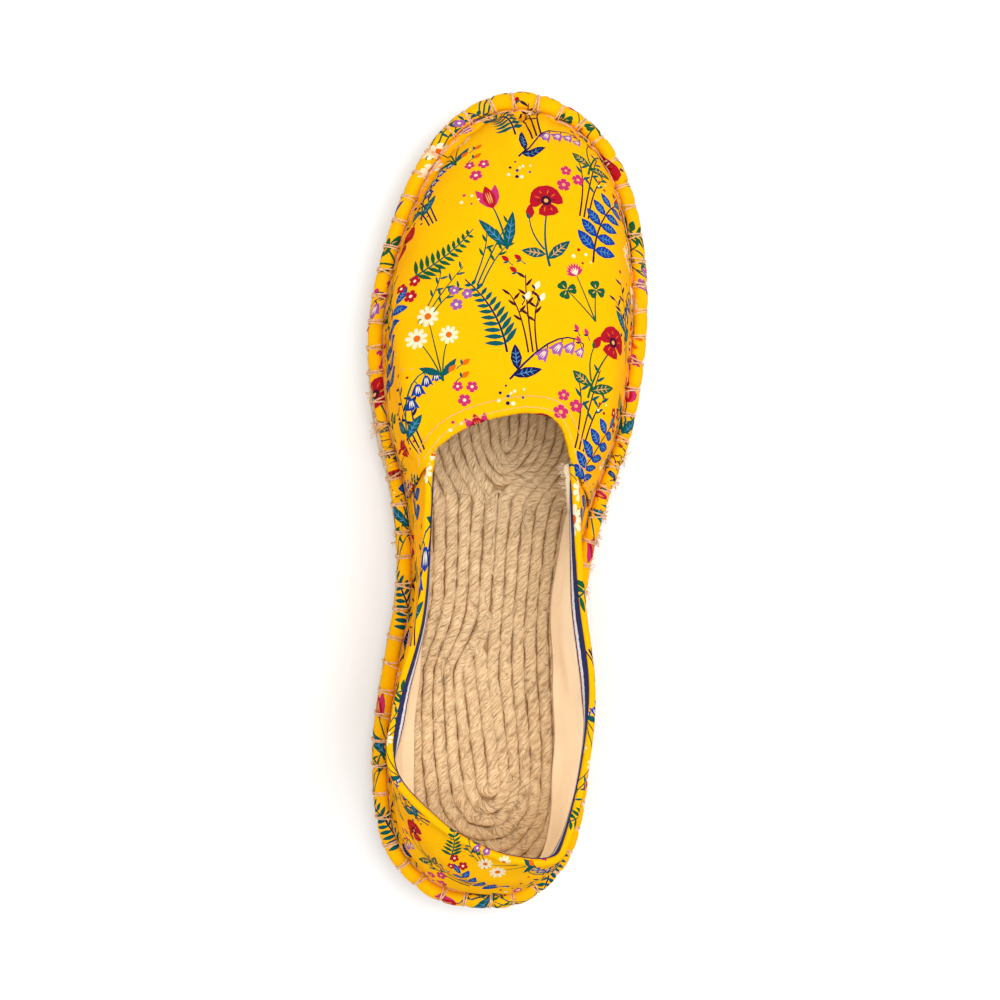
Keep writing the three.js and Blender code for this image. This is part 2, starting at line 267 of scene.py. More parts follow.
def run_of(table, turn):
    """Columns of a table at each turn, run smoothly round the shoe."""
    turn = np.asarray(turn, dtype=float)
    row = np.floor(turn).astype(int)
    part = (turn - row)[..., None]
    before, here, after, beyond = (table[(row + step) % ROWS_ROUND] for step in (-1, 0, 1, 2))
    bend = 2 * before - 5 * here + 4 * after - beyond
    swing = 3 * here - before - 3 * after + beyond
    return here + ((after - before) * part + bend * part**2 + swing * part**3) / 2


def foot(turn):
    return run_of(SECTIONS, turn)[..., 0:2]


def outward(turn):
    """Unit direction away from the shoe in plan."""
    turn = np.asarray(turn, dtype=float)
    return unit(left_of(foot(turn + TINY_TURN) - foot(turn - TINY_TURN)))


def inside_rim(turn, inset):
    """Plan points at a distance in from the outline."""
    return foot(turn) - outward(turn) * np.asarray(inset)[..., None]


def raised(plan, height):
    """Plan points at a height."""
    height = np.broadcast_to(height, plan.shape[:-1])
    return np.concatenate([plan, height[..., None]], axis=-1)


LAP_TURNS = np.linspace(0, ROWS_ROUND, 4801)
LAP_WALK = run_lengths(foot(LAP_TURNS))
LAP = LAP_WALK[-1]


def walked(turn):
    """Length along the outline up to a turn."""
    turn = np.asarray(turn, dtype=float)
    laps = np.floor(turn / ROWS_ROUND)
    return laps * LAP + np.interp(turn - laps * ROWS_ROUND, LAP_TURNS, LAP_WALK)


def turn_at(walk):
    """Turn at a length along the outline."""
    walk = np.asarray(walk, dtype=float)
    laps = np.floor(walk / LAP)
    return laps * ROWS_ROUND + np.interp(walk - laps * LAP, LAP_WALK, LAP_TURNS)


def smooth_step(value, low, high):
    part = np.clip((value - low) / (high - low), 0, 1)
    return part * part * (3 - 2 * part)


def bump(turn, middle, half):
    """Soft bump of height 1 about one turn."""
    return np.exp(-((np.mod(turn, ROWS_ROUND) - middle) / half) ** 2)


def on_vamp(turn):
    """1 on the vamp, 0 on the quarter, with a short ramp at each side seam."""
    turn = np.mod(turn, ROWS_ROUND)
    past_inner = smooth_step(turn, INNER_SEAM - SEAM_RAMP, INNER_SEAM + SEAM_RAMP)
    past_outer = smooth_step(turn, OUTER_SEAM - SEAM_RAMP, OUTER_SEAM + SEAM_RAMP)
    return 1 - past_inner * (1 - past_outer)


# Cloth surface: the blanket stitches that pull it in
STITCH_SHIFT = 0.08
STITCH_PULLS = (0.55, 1.2)
PINCH_REACH = 1.1
HOLE_REACH = 0.8
HOLE_DEPTH = 1.7
PULL_IN = 0.7
PULL_DOWN = 0.35
CROWN_PULL = 0.4
# The hem and the ledge are broader round the toe and the crease is shallower, and the wall leans in from
# its foot there and on the inner side. Each place has a half width and a shift to the inner side, in turns.
TOE_HEM = 1.2
TOE_HEM_AT = (0.8, 0.0)
TOE_LEDGE = 1.9
TOE_LEDGE_AT = (1.1, -1.4)
TOE_CREASE = 0.7
TOE_CREASE_AT = (2.0, -0.9)
TOE_LEAN = 5.0
TOE_LEAN_AT = (1.3, 0.0)
INNER_LEAN = 4.2
INNER_LEAN_AT = (2.6, 3.9)
HALF_ROUND = ROWS_ROUND / 2
# Roundness of the hem roll and of the ledge, and the share of the vamp's layer that fills the roll
CROWN_ROUND = 0.65
LEDGE_CROWN = 0.75
LEDGE_ROUND = 0.8
HEM_FILL = 0.5
# Wrinkles between the stitches: height, length, and sway with its own length, then a longer swell
WRINKLE_HEIGHT = 0.13
WRINKLE_LENGTH = 3.7
WRINKLE_SWAY = 2.2
SWAY_LENGTH = 8.3
SWELL_HEIGHT = 0.22
SWELL_LENGTHS = (13.0, 5.1)
# How far the wall's upper end turns towards straight out, and the share just below the edge
OUTWARD_PULL = 4
NEAR_EDGE = 0.97


def stitch_row():
    """Places of the blanket stitches along the outline, and how hard each one pulls."""
    rng = np.random.default_rng(SEED)
    count = round(LAP / mm("stitch_spacing"))
    places = (np.arange(count) + 0.5 + rng.uniform(-STITCH_SHIFT, STITCH_SHIFT, count)) * LAP / count
    return places, rng.uniform(*STITCH_PULLS, count)


def toe_part(turn, half, shift):
    """1 at a shift from the toe tip to the inner side, falling away on both sides."""
    return bump(turn + HALF_ROUND, HALF_ROUND + shift, half)


def hem_width(turn):
    return mm("hem_width") + TOE_HEM * toe_part(turn, *TOE_HEM_AT)


def ledge_width(turn):
    return mm("ledge_width") + TOE_LEDGE * toe_part(turn, *TOE_LEDGE_AT)


def pinch(turn, reach=PINCH_REACH):
    """How hard the nearest blanket stitch pulls, about 0 to 1."""
    places, pulls = stitch_row()
    walk = np.mod(walked(turn), LAP)
    after = np.searchsorted(places, walk)
    grips = []
    for index in (after - 1, after % len(places)):
        gap = np.mod(walk - places[index] + LAP / 2, LAP) - LAP / 2
        grips.append(pulls[index] * np.exp(-(gap / reach) ** 2))
    return np.maximum(*grips)


def crease_depth(turn):
    return CREASE_DEPTH * (1 - TOE_CREASE * toe_part(turn, *TOE_CREASE_AT))


def needle_hole(turn):
    """Depth of the small hole where a stitch goes in at the crease."""
    return HOLE_DEPTH * pinch(turn, HOLE_REACH)


def hem_roll(turn, part):
    """Hem from its outer foot over the crown to the crease, puffed between the stitches."""
    grip = pinch(turn)
    slack = bump(turn, HEM_TUCK_TURN, HEM_TUCK_REACH)
    crown = HEM_CROWN + HEM_FILL * VAMP_LAYER * on_vamp(turn)
    crown = crown * (1 - CROWN_PULL * grip) * (1 - HEM_TUCK_FLAT * slack)
    tuck = HEM_TUCK * slack
    inset = tuck + (hem_width(turn) - tuck) * (1 - np.cos(np.pi * part)) / 2
    inset = inset + PULL_IN * grip * (1 - part)
    height = HEM_BASE + crown * np.sin(np.pi * part) ** CROWN_ROUND + HEM_CREASE * part
    height -= PULL_DOWN * grip * part + crease_depth(turn) * part**6 + needle_hole(turn) * part**5
    return raised(inside_rim(turn, inset), height + hem_wrinkles(turn, part))


def hem_wrinkles(turn, part):
    """Slanted wrinkles of the hem between its stitches."""
    walk = walked(turn)
    sway = WRINKLE_SWAY * np.sin(walk / SWAY_LENGTH)
    slant = np.sin(2 * np.pi * (walk / WRINKLE_LENGTH + 0.5 * part) + sway)
    swell = np.sin(walk / SWELL_LENGTHS[0]) * np.sin(walk / SWELL_LENGTHS[1] + 1)
    return (WRINKLE_HEIGHT * slant + SWELL_HEIGHT * swell) * np.sin(np.pi * part)


def hem_ledge(turn, part):
    """Low roll of cloth between the crease and the wall."""
    grip = pinch(turn)
    inset = hem_width(turn) + ledge_width(turn) * part
    lift = LEDGE_CROWN * np.sin(np.pi * part) ** LEDGE_ROUND * (1 - CROWN_PULL * grip)
    start = HEM_BASE + HEM_CREASE - PULL_DOWN * grip * (1 - part)
    start = start - crease_depth(turn) * (1 - part) ** 2 - needle_hole(turn) * (1 - part) ** 2
    return raised(inside_rim(turn, inset), start + lift + LEDGE_RISE * part)


def wall(turn, share):
    """Wall of the cloth from beside the hem up to the edge of the opening."""
    row = run_of(SECTIONS, turn)
    out = outward(turn)
    base = row[..., 0:2] - out * (hem_width(turn) + ledge_width(turn))[..., None]
    edge = raised(row[..., 2:4], SOLE_TOP + row[..., 4])
    lean = unit(OUTWARD_PULL * out + base - row[..., 2:4])
    pitch = np.radians(row[..., 7:8])
    pull = np.concatenate([lean * np.cos(pitch), -np.sin(pitch)], axis=-1)
    low = raised(base, HEM_BASE + HEM_CREASE + LEDGE_RISE)
    lean_in = INNER_LEAN * toe_part(turn, *INNER_LEAN_AT) + TOE_LEAN * toe_part(turn, *TOE_LEAN_AT)
    lower = raised(base - out * lean_in[..., None], HEM_BASE + HEM_CREASE + row[..., 5])
    upper = edge + row[..., 6:7] * pull
    t = share[..., None]
    return (1 - t) ** 3 * low + 3 * (1 - t) ** 2 * t * lower + 3 * (1 - t) * t**2 * upper + t**3 * edge


def cloth(turn, share):
    """Plain surface of the cloth: hem roll, ledge and wall."""
    turn, share = np.broadcast_arrays(np.asarray(turn, float), np.asarray(share, float))
    roll = hem_roll(turn, np.clip(share + 2, 0, 1))
    ledge = hem_ledge(turn, np.clip(share + 1, 0, 1))
    rise = wall(turn, np.clip(share, 0, 1))
    return np.where((share < -1)[..., None], roll, np.where((share < 0)[..., None], ledge, rise))


def cloth_normal(turn, share):
    share = np.asarray(share, float)
    climb = cloth(turn, share + TINY_SHARE) - cloth(turn, share - TINY_SHARE)
    ahead = cloth(turn + TINY_TURN, share) - cloth(turn - TINY_TURN, share)
    return unit(np.cross(climb, ahead))


def edge_climb(turn):
    """Direction in which the cloth reaches its edge."""
    return unit(cloth(turn, 1.0) - cloth(turn, NEAR_EDGE))


def below_edge(turn, share):
    """Straight distance of a share of the wall below the edge."""
    return np.linalg.norm(cloth(turn, np.clip(share, 0, 1)) - cloth(turn, 1.0), axis=-1)


def laid(turn, share, lift, lip):
    """Points of a cloth panel lifted off the plain surface, turned over the edge in a round lip."""
    turn, share = np.broadcast_arrays(np.asarray(turn, float), np.asarray(share, float))
    low = np.minimum(share, 1)
    angle = np.pi * np.clip((share - 1) / LIP_SHARE, 0, 1)
    drop = LIP_DROP * np.maximum(share - 1 - LIP_SHARE, 0) / LIP_SHARE
    out = lift - lip * (1 - np.cos(angle))
    up = lip * np.sin(angle) - drop
    return cloth(turn, low) + cloth_normal(turn, low) * out[..., None] + edge_climb(turn) * up[..., None]


# Cloth panels laid flat
PANEL_COLUMNS = 301
PANEL_SHARES = np.concatenate([
    np.linspace(-2, -1, 11)[:-1],
    np.linspace(-1, 0, 5)[:-1],
    np.linspace(0, 1, 49)[:-1],
    np.linspace(1, 1 + LIP_SHARE, 8)[:-1],
    np.linspace(1 + LIP_SHARE, LAST_SHARE, 4),
])
EDGE_ROW = int(np.argmin(np.abs(PANEL_SHARES - 1)))
FOOT_ROW = int(np.argmin(np.abs(PANEL_SHARES)))


def vamp_flat(turn, length):
    """The vamp opened out from its throat edge."""
    edge = cloth(turn, 1.0)[..., 0:2]
    base = cloth(turn, 0.0)[..., 0:2]
    return edge + unit(base - edge) * (length[:, EDGE_ROW:EDGE_ROW + 1] - length)[..., None]


def quarter_flat(turn, length):
    """The quarter unrolled along the hem."""
    return np.stack([walked(turn), length - length[:, FOOT_ROW:FOOT_ROW + 1]], axis=-1)


class Panel:
    """A cloth panel with its flat pattern and the way back from the pattern to the shoe."""

    def __init__(self, first, last, lip, flatten):
        self.lip = lip
        self.turns = np.linspace(first, last, PANEL_COLUMNS)
        turn, share = np.meshgrid(self.turns, PANEL_SHARES, indexing="ij")
        points = laid(turn, share, np.zeros_like(turn), lip)
        self.length = run_lengths(points, axis=1)
        self.flat = flatten(turn, self.length)
        self.nodes = self.flat.reshape(-1, 2)
        self.node_turn = turn.ravel()
        self.node_share = share.ravel()
        rows = len(PANEL_SHARES)
        corner = np.arange(PANEL_COLUMNS * rows).reshape(PANEL_COLUMNS, rows)
        a, b = corner[:-1, :-1].ravel(), corner[1:, :-1].ravel()
        c, d = corner[1:, 1:].ravel(), corner[:-1, 1:].ravel()
        self.cells = np.concatenate([np.stack([a, b, c], 1), np.stack([a, c, d], 1)])
        self.tree = BVHTree.FromPolygons([(x, y, 0) for x, y in self.nodes], self.cells.tolist())

    def locate(self, points):
        """Turn, share and distance off the pattern for flat points."""
        hits = [self.tree.find_nearest(Vector((x, y, 0))) for x, y in points]
        corners = self.cells[[hit[2] for hit in hits]]
        a, b, c = (self.nodes[corners[:, k]] for k in range(3))
        area = np.cross(b - a, c - a)
        second = np.cross(points - a, c - a) / area
        third = np.cross(b - a, points - a) / area
        weights = np.clip(np.stack([1 - second - third, second, third], 1), 0, 1)
        weights /= weights.sum(1, keepdims=True)
        turn = (weights * self.node_turn[corners]).sum(1)
        share = (weights * self.node_share[corners]).sum(1)
        return turn, share, np.array([hit[3] for hit in hits])

    def share_at(self, turn, below):
        """Share at a length below the edge, for each turn."""
        shares = []
        for t, depth in zip(turn, below):
            column = np.argmin(np.abs(self.turns - t))
            run = self.length[column] - self.length[column, EDGE_ROW]
            shares.append(np.interp(-depth, run, PANEL_SHARES))
        return np.array(shares)

    def outline(self, step):
        """Corners of the flat pattern, in order, about a step apart."""
        rim = [self.flat[:, 0], self.flat[-1, :], self.flat[::-1, -1], self.flat[0, ::-1]]
        return np.concatenate([spaced(side, step)[:-1] for side in rim])

    def row(self, share, step):
        """Flat points along the panel at one share."""
        return spaced(self.flat[:, int(np.argmin(np.abs(PANEL_SHARES - share)))], step)


def anticlockwise(points):
    """The corners of a flat shape in anticlockwise order."""
    after = np.roll(points, -1, axis=0)
    area = np.sum(points[:, 0] * after[:, 1] - points[:, 1] * after[:, 0])
    return points if area > 0 else points[::-1]


def spaced(points, step):
    """Points at even steps along an open run."""
    lengths = run_lengths(points)
    at = np.linspace(0, lengths[-1], max(2, round(lengths[-1] / step) + 1))
    return np.stack([np.interp(at, lengths, points[:, k]) for k in range(points.shape[1])], axis=1)


# Print: shapes in millimetres about the middle of each sprig.
# Leaf and petal: parts of the way along, and half widths there
LEAF_PARTS = np.array([0.18, 0.45, 0.72, 0.9])
LEAF_HALVES = np.array([0.66, 1.0, 0.72, 0.32])
PETAL_PARTS = np.array([0.1, 0.5, 0.82, 0.98])
PETAL_HALVES = np.array([0.25, 0.86, 0.96, 0.45])
STALK_TAPER = 0.45


def polar(x, y, reach, angle):
    """Point at a reach and an angle from another."""
    return x + reach * math.cos(angle), y + reach * math.sin(angle)


def flanks(start, run, side, parts, halves):
    """Left corners of a slim shape from foot to tip, and right ones from tip to foot."""
    middle = start + parts[:, None] * run
    return middle + halves[:, None] * side, (middle - halves[:, None] * side)[::-1]


def disc(x, y, radius, tint, corners=9):
    angles = np.linspace(0, 2 * np.pi, corners, endpoint=False)
    return tint, np.stack([x + radius * np.cos(angles), y + radius * np.sin(angles)], 1)


def leaf(x0, y0, x1, y1, width, tint):
    """Pointed leaf from its foot to its tip."""
    start, end = np.array([x0, y0]), np.array([x1, y1])
    run = end - start
    side = left_of(run) / np.hypot(*run)
    left, right = flanks(start, run, side, LEAF_PARTS, width / 2 * LEAF_HALVES)
    return tint, np.concatenate([[start], left, [end], right])


def veined_leaf(x0, y0, x1, y1, width, tint, vein_tint):
    """Leaf with a light rib and short slanted veins."""
    start = np.array([x0, y0])
    run = np.array([x1, y1]) - start
    side = left_of(run) / np.hypot(*run)
    shapes = [leaf(x0, y0, x1, y1, width, tint)]
    shapes.append(leaf(*(start + 0.1 * run), *(start + 0.86 * run), 0.42, vein_tint))
    for part in (0.26, 0.42, 0.58):
        for way in (-1, 1):
            root = start + part * run
            tip = root + 0.12 * run + way * 0.36 * width * side
            shapes.append(leaf(*root, *tip, 0.36, vein_tint))
    return shapes


def petal(x, y, angle, length, width, tint):
    """Round-ended petal that leaves a point at an angle."""
    start, run = np.array([x, y]), np.array([np.cos(angle), np.sin(angle)])
    sides = flanks(start, run, left_of(run), length * PETAL_PARTS, width / 2 * PETAL_HALVES)
    return tint, np.concatenate(sides)


def petal_ring(x, y, count, first, length, width, tint):
    """Petals all round a point."""
    return [petal(x, y, first + 2 * math.pi * k / count, length, width, tint) for k in range(count)]


def along_stalk(points, t):
    """Point at a part of the way along a curved stalk."""
    a, b, c = (np.array(point, float) for point in points)
    return (1 - t) ** 2 * a + 2 * (1 - t) * t * b + t**2 * c


def stalk(points, width, tint):
    """Thin curved stalk through three points, narrower at its tip."""
    t = np.linspace(0, 1, 8)[:, None]
    line = along_stalk(points, t)
    side = left_of(unit(np.gradient(line, axis=0)))
    half = width / 2 * (1 - STALK_TAPER * t)
    return tint, np.concatenate([line + side * half, (line - side * half)[::-1]])


def fern(stem_tint, leaf_tint):
    spine = ((-1.5, -17), (4.5, 0), (-1.5, 17))
    shapes = [stalk(spine, 0.9, stem_tint)]
    for k in range(11):
        t = 0.1 + 0.08 * k
        x, y = along_stalk(spine, t)
        reach = 7.4 * (1 - 0.74 * t)
        for way in (-1, 1):
            shapes.append(leaf(x, y, x + way * reach, y + 0.55 * reach, 2.2 - 0.8 * t, leaf_tint))
    return shapes


def poppy(petal_tint, stem_tint):
    spine = ((-3, -18), (-4, -6), (1, 6))
    shapes = [stalk(spine, 1.0, stem_tint), stalk(((-3.7, -11), (-8, -4), (-7, 3)), 0.8, stem_tint)]
    shapes += veined_leaf(-3.2, -15, 6.8, -8.6, 4.4, stem_tint, "peach")
    shapes += veined_leaf(-3.5, -13, -12.5, -10, 4.2, stem_tint, "peach")
    shapes += [leaf(-7, 2.2, -5.6, 8.4, 3.6, petal_tint), leaf(-7, 2.0, -7.8, 5.2, 1.4, stem_tint)]
    heart = (1, 9)
    for angle in (20, 160, 90, 270):
        shapes.append(petal(*heart, math.radians(angle), 6.6, 8.4, petal_tint))
    for angle in (30, 68, 112, 150, 250, 290):
        a = math.radians(angle)
        shapes.append(leaf(*polar(*heart, 2.6, a), *polar(*heart, 5.0, a), 0.5, "orange"))
    shapes += [disc(*heart, 2.2, "plum"), disc(*heart, 0.9, "peach", 7)]
    shapes += [disc(*polar(*heart, 3.1, a), 0.4, "plum", 6) for a in range(6)]
    return shapes


def bells(bell_tint, stem_tint):
    spine = ((-6, -17), (-5, 14), (8, 13))
    shapes = [stalk(spine, 0.9, stem_tint)]
    shapes += veined_leaf(-6, -15, 1.5, -6, 4.4, stem_tint, "sky")
    shapes += veined_leaf(-6, -12, -13, -4, 4.4, stem_tint, "sky")
    cup = np.array([(-0.7, 0), (-1.5, -1.6), (-2.6, -4.6), (-1.3, -4.0), (0, -5.2), (1.3, -4.0),
                    (2.6, -4.6), (1.5, -1.6), (0.7, 0)])
    for t, size in ((0.42, 1.1), (0.62, 1.15), (0.81, 1.05), (0.99, 0.85)):
        x, y = along_stalk(spine, t)
        shapes.append(stalk(((x, y), (x + 1, y - 0.5), (x + 1.2, y - 2.0)), 0.6, stem_tint))
        shapes.append((bell_tint, np.array([x + 1.2, y - 1.6]) + size * cup))
        for lean in (-0.9, 0, 0.9):
            start = (x + 1.2 + 0.4 * lean, y - 2.4)
            shapes.append(leaf(*start, x + 1.2 + lean, y - 2.0 - 3.6 * size, 0.45, "cream"))
    return shapes


def twig(leaf_tint, rib_tint):
    spine = ((2.5, -19), (-4, -3), (1, 14))
    shapes = [stalk(spine, 0.9, "plum")]
    for k in range(5):
        t = 0.16 + 0.18 * k
        x, y = along_stalk(spine, t)
        reach = 10.0 - 3.8 * t
        for way in (-1, 1):
            tip = (x + way * reach, y + 0.45 * reach)
            shapes += veined_leaf(x, y, *tip, 5.4 - 1.5 * t, leaf_tint, rib_tint)
    shapes += veined_leaf(1, 13.5, 2, 21, 3.4, leaf_tint, rib_tint)
    return shapes


def daisies(petal_tint, heart_tint):
    shapes = [stalk(((-1, -16), (-2, -4), (-6, 4)), 0.7, "green")]
    shapes.append(stalk(((-1, -16), (1, -6), (6, 1)), 0.7, "green"))
    shapes.append(stalk(((-1, -16), (0, 0), (0.5, 11)), 0.7, "green"))
    shapes += [leaf(-1, -14, 6.5, -8.4, 3.2, "teal"), leaf(-1, -13, -8.5, -7.4, 3.2, "teal")]
    for x, y, size in ((-6, 5, 1.15), (6.4, 2, 1.0), (0.6, 12.4, 1.15)):
        shapes += petal_ring(x, y, 9, 0.0, 3.9 * size, 1.6 * size, petal_tint)
        shapes.append(disc(x, y, 1.3 * size, heart_tint, 8))
    return shapes


def tulip(cup_tint, edge_tint):
    shapes = [stalk(((0, -17), (1.5, -5), (0, 4)), 1.0, "teal")]
    shapes += veined_leaf(0, -17, 7.5, -1, 4.6, "teal", "sky")
    shapes += veined_leaf(0, -16, -7, 0, 4.2, "teal", "sky")
    shapes += [leaf(-0.4, 3, -4.2, 13.5, 4.2, cup_tint), leaf(0.4, 3, 4.2, 13.5, 4.2, cup_tint)]
    shapes.append(leaf(0, 2.6, 0, 14.2, 5.2, edge_tint))
    shapes += [leaf(way * 0.7, 5, way * 0.9, 11, 0.5, "peach") for way in (-1, 0, 1)]
    return shapes


def clover(leaf_tint, head_tint):
    shapes = []
    for x, y, lean in ((-6, 2, 0.3), (6, -2, -0.2)):
        shapes.append(stalk(((0, -14), (0.5 * x, -6), (x, y)), 0.7, leaf_tint))
        for k in range(3):
            angle = lean + math.pi / 2 + 2 * math.pi * k / 3
            shapes.append(petal(x, y, angle - 0.3, 4.1, 2.7, leaf_tint))
            shapes.append(petal(x, y, angle + 0.3, 4.1, 2.7, leaf_tint))
            shapes.append(leaf(*polar(x, y, 0.8, angle), *polar(x, y, 2.6, angle), 0.5, "peach"))
    shapes.append(stalk(((0, -14), (0, -2), (0.5, 6)), 0.7, leaf_tint))
    for k in range(9):
        a = 0.35 * k + 0.17
        shapes.append(leaf(0.5, 6.2, 0.5 + 3.8 * math.cos(a), 7.4 + 4.4 * math.sin(a), 1.4, head_tint))
    for k in range(5):
        a = 0.5 * k + 0.57
        shapes.append(leaf(0.5, 6.4, 0.5 + 2.2 * math.cos(a), 7.4 + 2.6 * math.sin(a), 0.6, "cream"))
    return shapes


def blossoms(petal_tint, heart_tint):
    shapes = []
    for x, y, size in ((-3.2, -3.6, 1.0), (4.4, 0.5, 0.9), (-1.8, 5.0, 0.8)):
        shapes += petal_ring(x, y, 5, 0.3, 3.6 * size, 3.1 * size, petal_tint)
        shapes.append(disc(x, y, 1.0 * size, heart_tint, 7))
    return shapes


def buds(tint, leaf_tint):
    shapes = []
    for x, y in ((-3, -2.4), (2.8, -1), (-0.6, 3.2)):
        shapes.append(stalk(((x - 0.6, y - 4), (x - 0.6, y - 2), (x, y - 1)), 0.5, leaf_tint))
        shapes.append(leaf(x, y - 1.4, x + 0.5, y + 2.6, 2.3, tint))
        shapes.append(leaf(x, y - 1.4, x - 2.1, y + 0.2, 1.1, leaf_tint))
    return shapes


def grass(stem_tint, leaf_tint):
    shapes = []
    for foot_x, tip_x, high in ((-1.5, -5.0, 9), (0, 1.5, 15), (1.5, 5.5, 7)):
        spine = ((foot_x, -13), (foot_x, 0.3 * high), (tip_x, high))
        shapes.append(stalk(spine, 0.62, stem_tint))
        for k in range(5):
            x, y = along_stalk(spine, 0.42 + 0.13 * k)
            way = 1 if k % 2 else -1
            shapes.append(leaf(x, y, x + 2.6 * way, y + 2.6, 1.05, leaf_tint))
    return shapes


def seeds(tint, other):
    spots = ((-3, 0), (-1.2, 2.6), (1.4, 1.2), (0.2, -2.2), (3.2, -1.4))
    return [disc(x, y, 0.75 - 0.08 * k, (tint, other)[k % 2], 7) for k, (x, y) in enumerate(spots)]


# One repeat of the print: sprig, its two colours, place, turn in degrees and size
REPEAT_WIDE = 66.3
REPEAT_HIGH = 71.4
PRINT_CHART = [
    (grass, ("plum", "teal"), 21.5, 28, -10, 0.9),
    (grass, ("navy", "navy"), 36.5, 59, 24, 0.8),
    (grass, ("teal", "green"), 58, 38, -18, 0.8),
    (grass, ("plum", "plum"), 3, 55, 10, 0.85),
    (grass, ("green", "teal"), 44, 25, -30, 0.75),
    (poppy, ("red", "teal"), 8.5, 13.6, 12, 0.78),
    (twig, ("blue", "sky"), 26.3, 16.1, -24, 0.75),
    (daisies, ("cream", "orange"), 43.4, 10.2, 18, 0.73),
    (fern, ("navy", "teal"), 58.6, 19.6, 30, 0.75),
    (bells, ("lilac", "navy"), 9.3, 43.4, -34, 0.73),
    (tulip, ("magenta", "red"), 58.6, 51, 20, 0.71),
    (fern, ("teal", "green"), 44.2, 38.2, -52, 0.68),
    (poppy, ("red", "green"), 27.2, 44.2, -16, 0.73),
    (clover, ("green", "magenta"), 18.7, 64.6, 26, 0.73),
    (bells, ("blue", "teal"), 39.1, 64.6, 8, 0.68),
    (blossoms, ("magenta", "peach"), 15.3, 28.9, 0, 0.61),
    (blossoms, ("red", "cream"), 34.9, 28.9, 50, 0.56),
    (blossoms, ("lilac", "cream"), 50.1, 24.6, 20, 0.51),
    (buds, ("orange", "teal"), 51, 2.5, -40, 0.72),
    (buds, ("red", "teal"), 64.6, 35.7, 60, 0.68),
    (blossoms, ("magenta", "cream"), 52.7, 67.1, 35, 0.53),
    (buds, ("cream", "navy"), 5.1, 62, -15, 0.72),
    (buds, ("magenta", "navy"), 18.7, 51, 35, 0.59),
    (seeds, ("cream", "red"), 18.7, 3.4, 0, 0.85),
    (seeds, ("red", "navy"), 35.7, 52.7, 30, 0.85),
    (seeds, ("cream", "blue"), 0.8, 30.6, 70, 0.85),
    (seeds, ("peach", "red"), 34.9, 1.7, 50, 0.85),
    (seeds, ("cream", "magenta"), 51, 56.1, 20, 0.77),
    (seeds, ("navy", "cream"), 63.8, 66.3, 110, 0.85),
    (seeds, ("red", "cream"), 26.3, 30.6, 110, 0.68),
]


def print_shapes(low, high):
    """Shapes of the print over a flat box, in half-drop repeats."""
    shapes = []
    columns = range(math.floor(low[0] / REPEAT_WIDE) - 1, math.ceil(high[0] / REPEAT_WIDE) + 1)
    rows = range(math.floor(low[1] / REPEAT_HIGH) - 2, math.ceil(high[1] / REPEAT_HIGH) + 1)
    for column in columns:
        for row in rows:
            corner = np.array([column * REPEAT_WIDE, (row + 0.5 * (column % 2)) * REPEAT_HIGH])
            for sprig, tints, x, y, angle, size in PRINT_CHART:
                a = math.radians(angle)
                spin = size * np.array([(math.cos(a), math.sin(a)), (-math.sin(a), math.cos(a))])
                for tint, points in sprig(*tints):
                    placed = points @ spin + corner + (x, y)
                    if (placed.max(0) > low).all() and (placed.min(0) < high).all():
                        shapes.append((tint, placed))
    return shapes


# Soft folds of the cloth on its flat pattern: points, half width, depth (below 0 is a trough)
FOLD_STEP = 2.0
VAMP_FOLDS = [
    ([(-1.2, 142), (0.0, 132), (1.6, 122), (2.6, 112), (3.0, 104)], 1.8, -1.9),
    ([(5.6, 136), (7.0, 124), (7.4, 108)], 2.4, 1.6),
    ([(-6.4, 138), (-4.2, 124), (-2.6, 110)], 2.2, 1.7),
    ([(-37, 74), (-34.5, 52), (-30.8, 39), (-28.4, 18), (-27, 6)], 2.8, 1.3),
    ([(-44, 74), (-42, 52), (-39.5, 38), (-38, 18), (-37, -4)], 4.5, -1.5),
    ([(21, 16), (28, 30), (33, 48)], 5.0, 0.7),
    ([(-30, 6), (-38, 14), (-46, 18)], 3.2, -0.6),
    ([(26, 4), (36, 12), (46, 15)], 3.2, -0.6),
]
QUARTER_FOLDS = [
    ([(256, 34), (278, 32), (300, 31), (322, 32), (344, 34)], 5.0, 1.3),
    ([(262, 22), (300, 20), (338, 22)], 3.0, -0.9),
    ([(268, 14), (302, 12), (334, 14)], 3.0, 0.7),
    ([(262, 6), (300, 5), (338, 6)], 2.4, -0.7),
    ([(392, 6), (415, 5), (438, 7)], 1.8, -0.6),
    ([(392, 12), (415, 11), (438, 13)], 2.0, 0.5),
]


def fold_relief(points, folds):
    """Height of the soft folds at flat points."""
    height = np.zeros(len(points))
    for line, half, depth in folds:
        line = spaced(np.array(line, float), FOLD_STEP)
        gaps = np.linalg.norm(points[:, None, :] - line[None, :, :], axis=-1)
        nearest = gaps.argmin(1)
        taper = np.sin(np.pi * (nearest + 0.5) / len(line)) ** 0.5
        height += depth * taper * np.exp(-(gaps.min(1) / half) ** 2)
    return height


# Helpers for meshes
MERGE_GAP = 2e-6


def deselect_all():
    bpy.ops.object.select_all(action="DESELECT")


def make_active(piece):
    deselect_all()
    piece.select_set(True)
    bpy.context.view_layer.objects.active = piece


def new_object(name, data):
    """An object at the origin, in the scene."""
    piece = bpy.data.objects.new(name, data)
    bpy.context.scene.collection.objects.link(piece)
    return piece


def apply_solidify(piece, thickness, offset):
    """Gives a sheet its thickness, in millimetres."""
    make_active(piece)
    solid = piece.modifiers.new("thickness", "SOLIDIFY")
    solid.thickness = thickness * MM
    solid.offset = offset
    solid.use_even_offset = False
    bpy.ops.object.modifier_apply(modifier=solid.name)


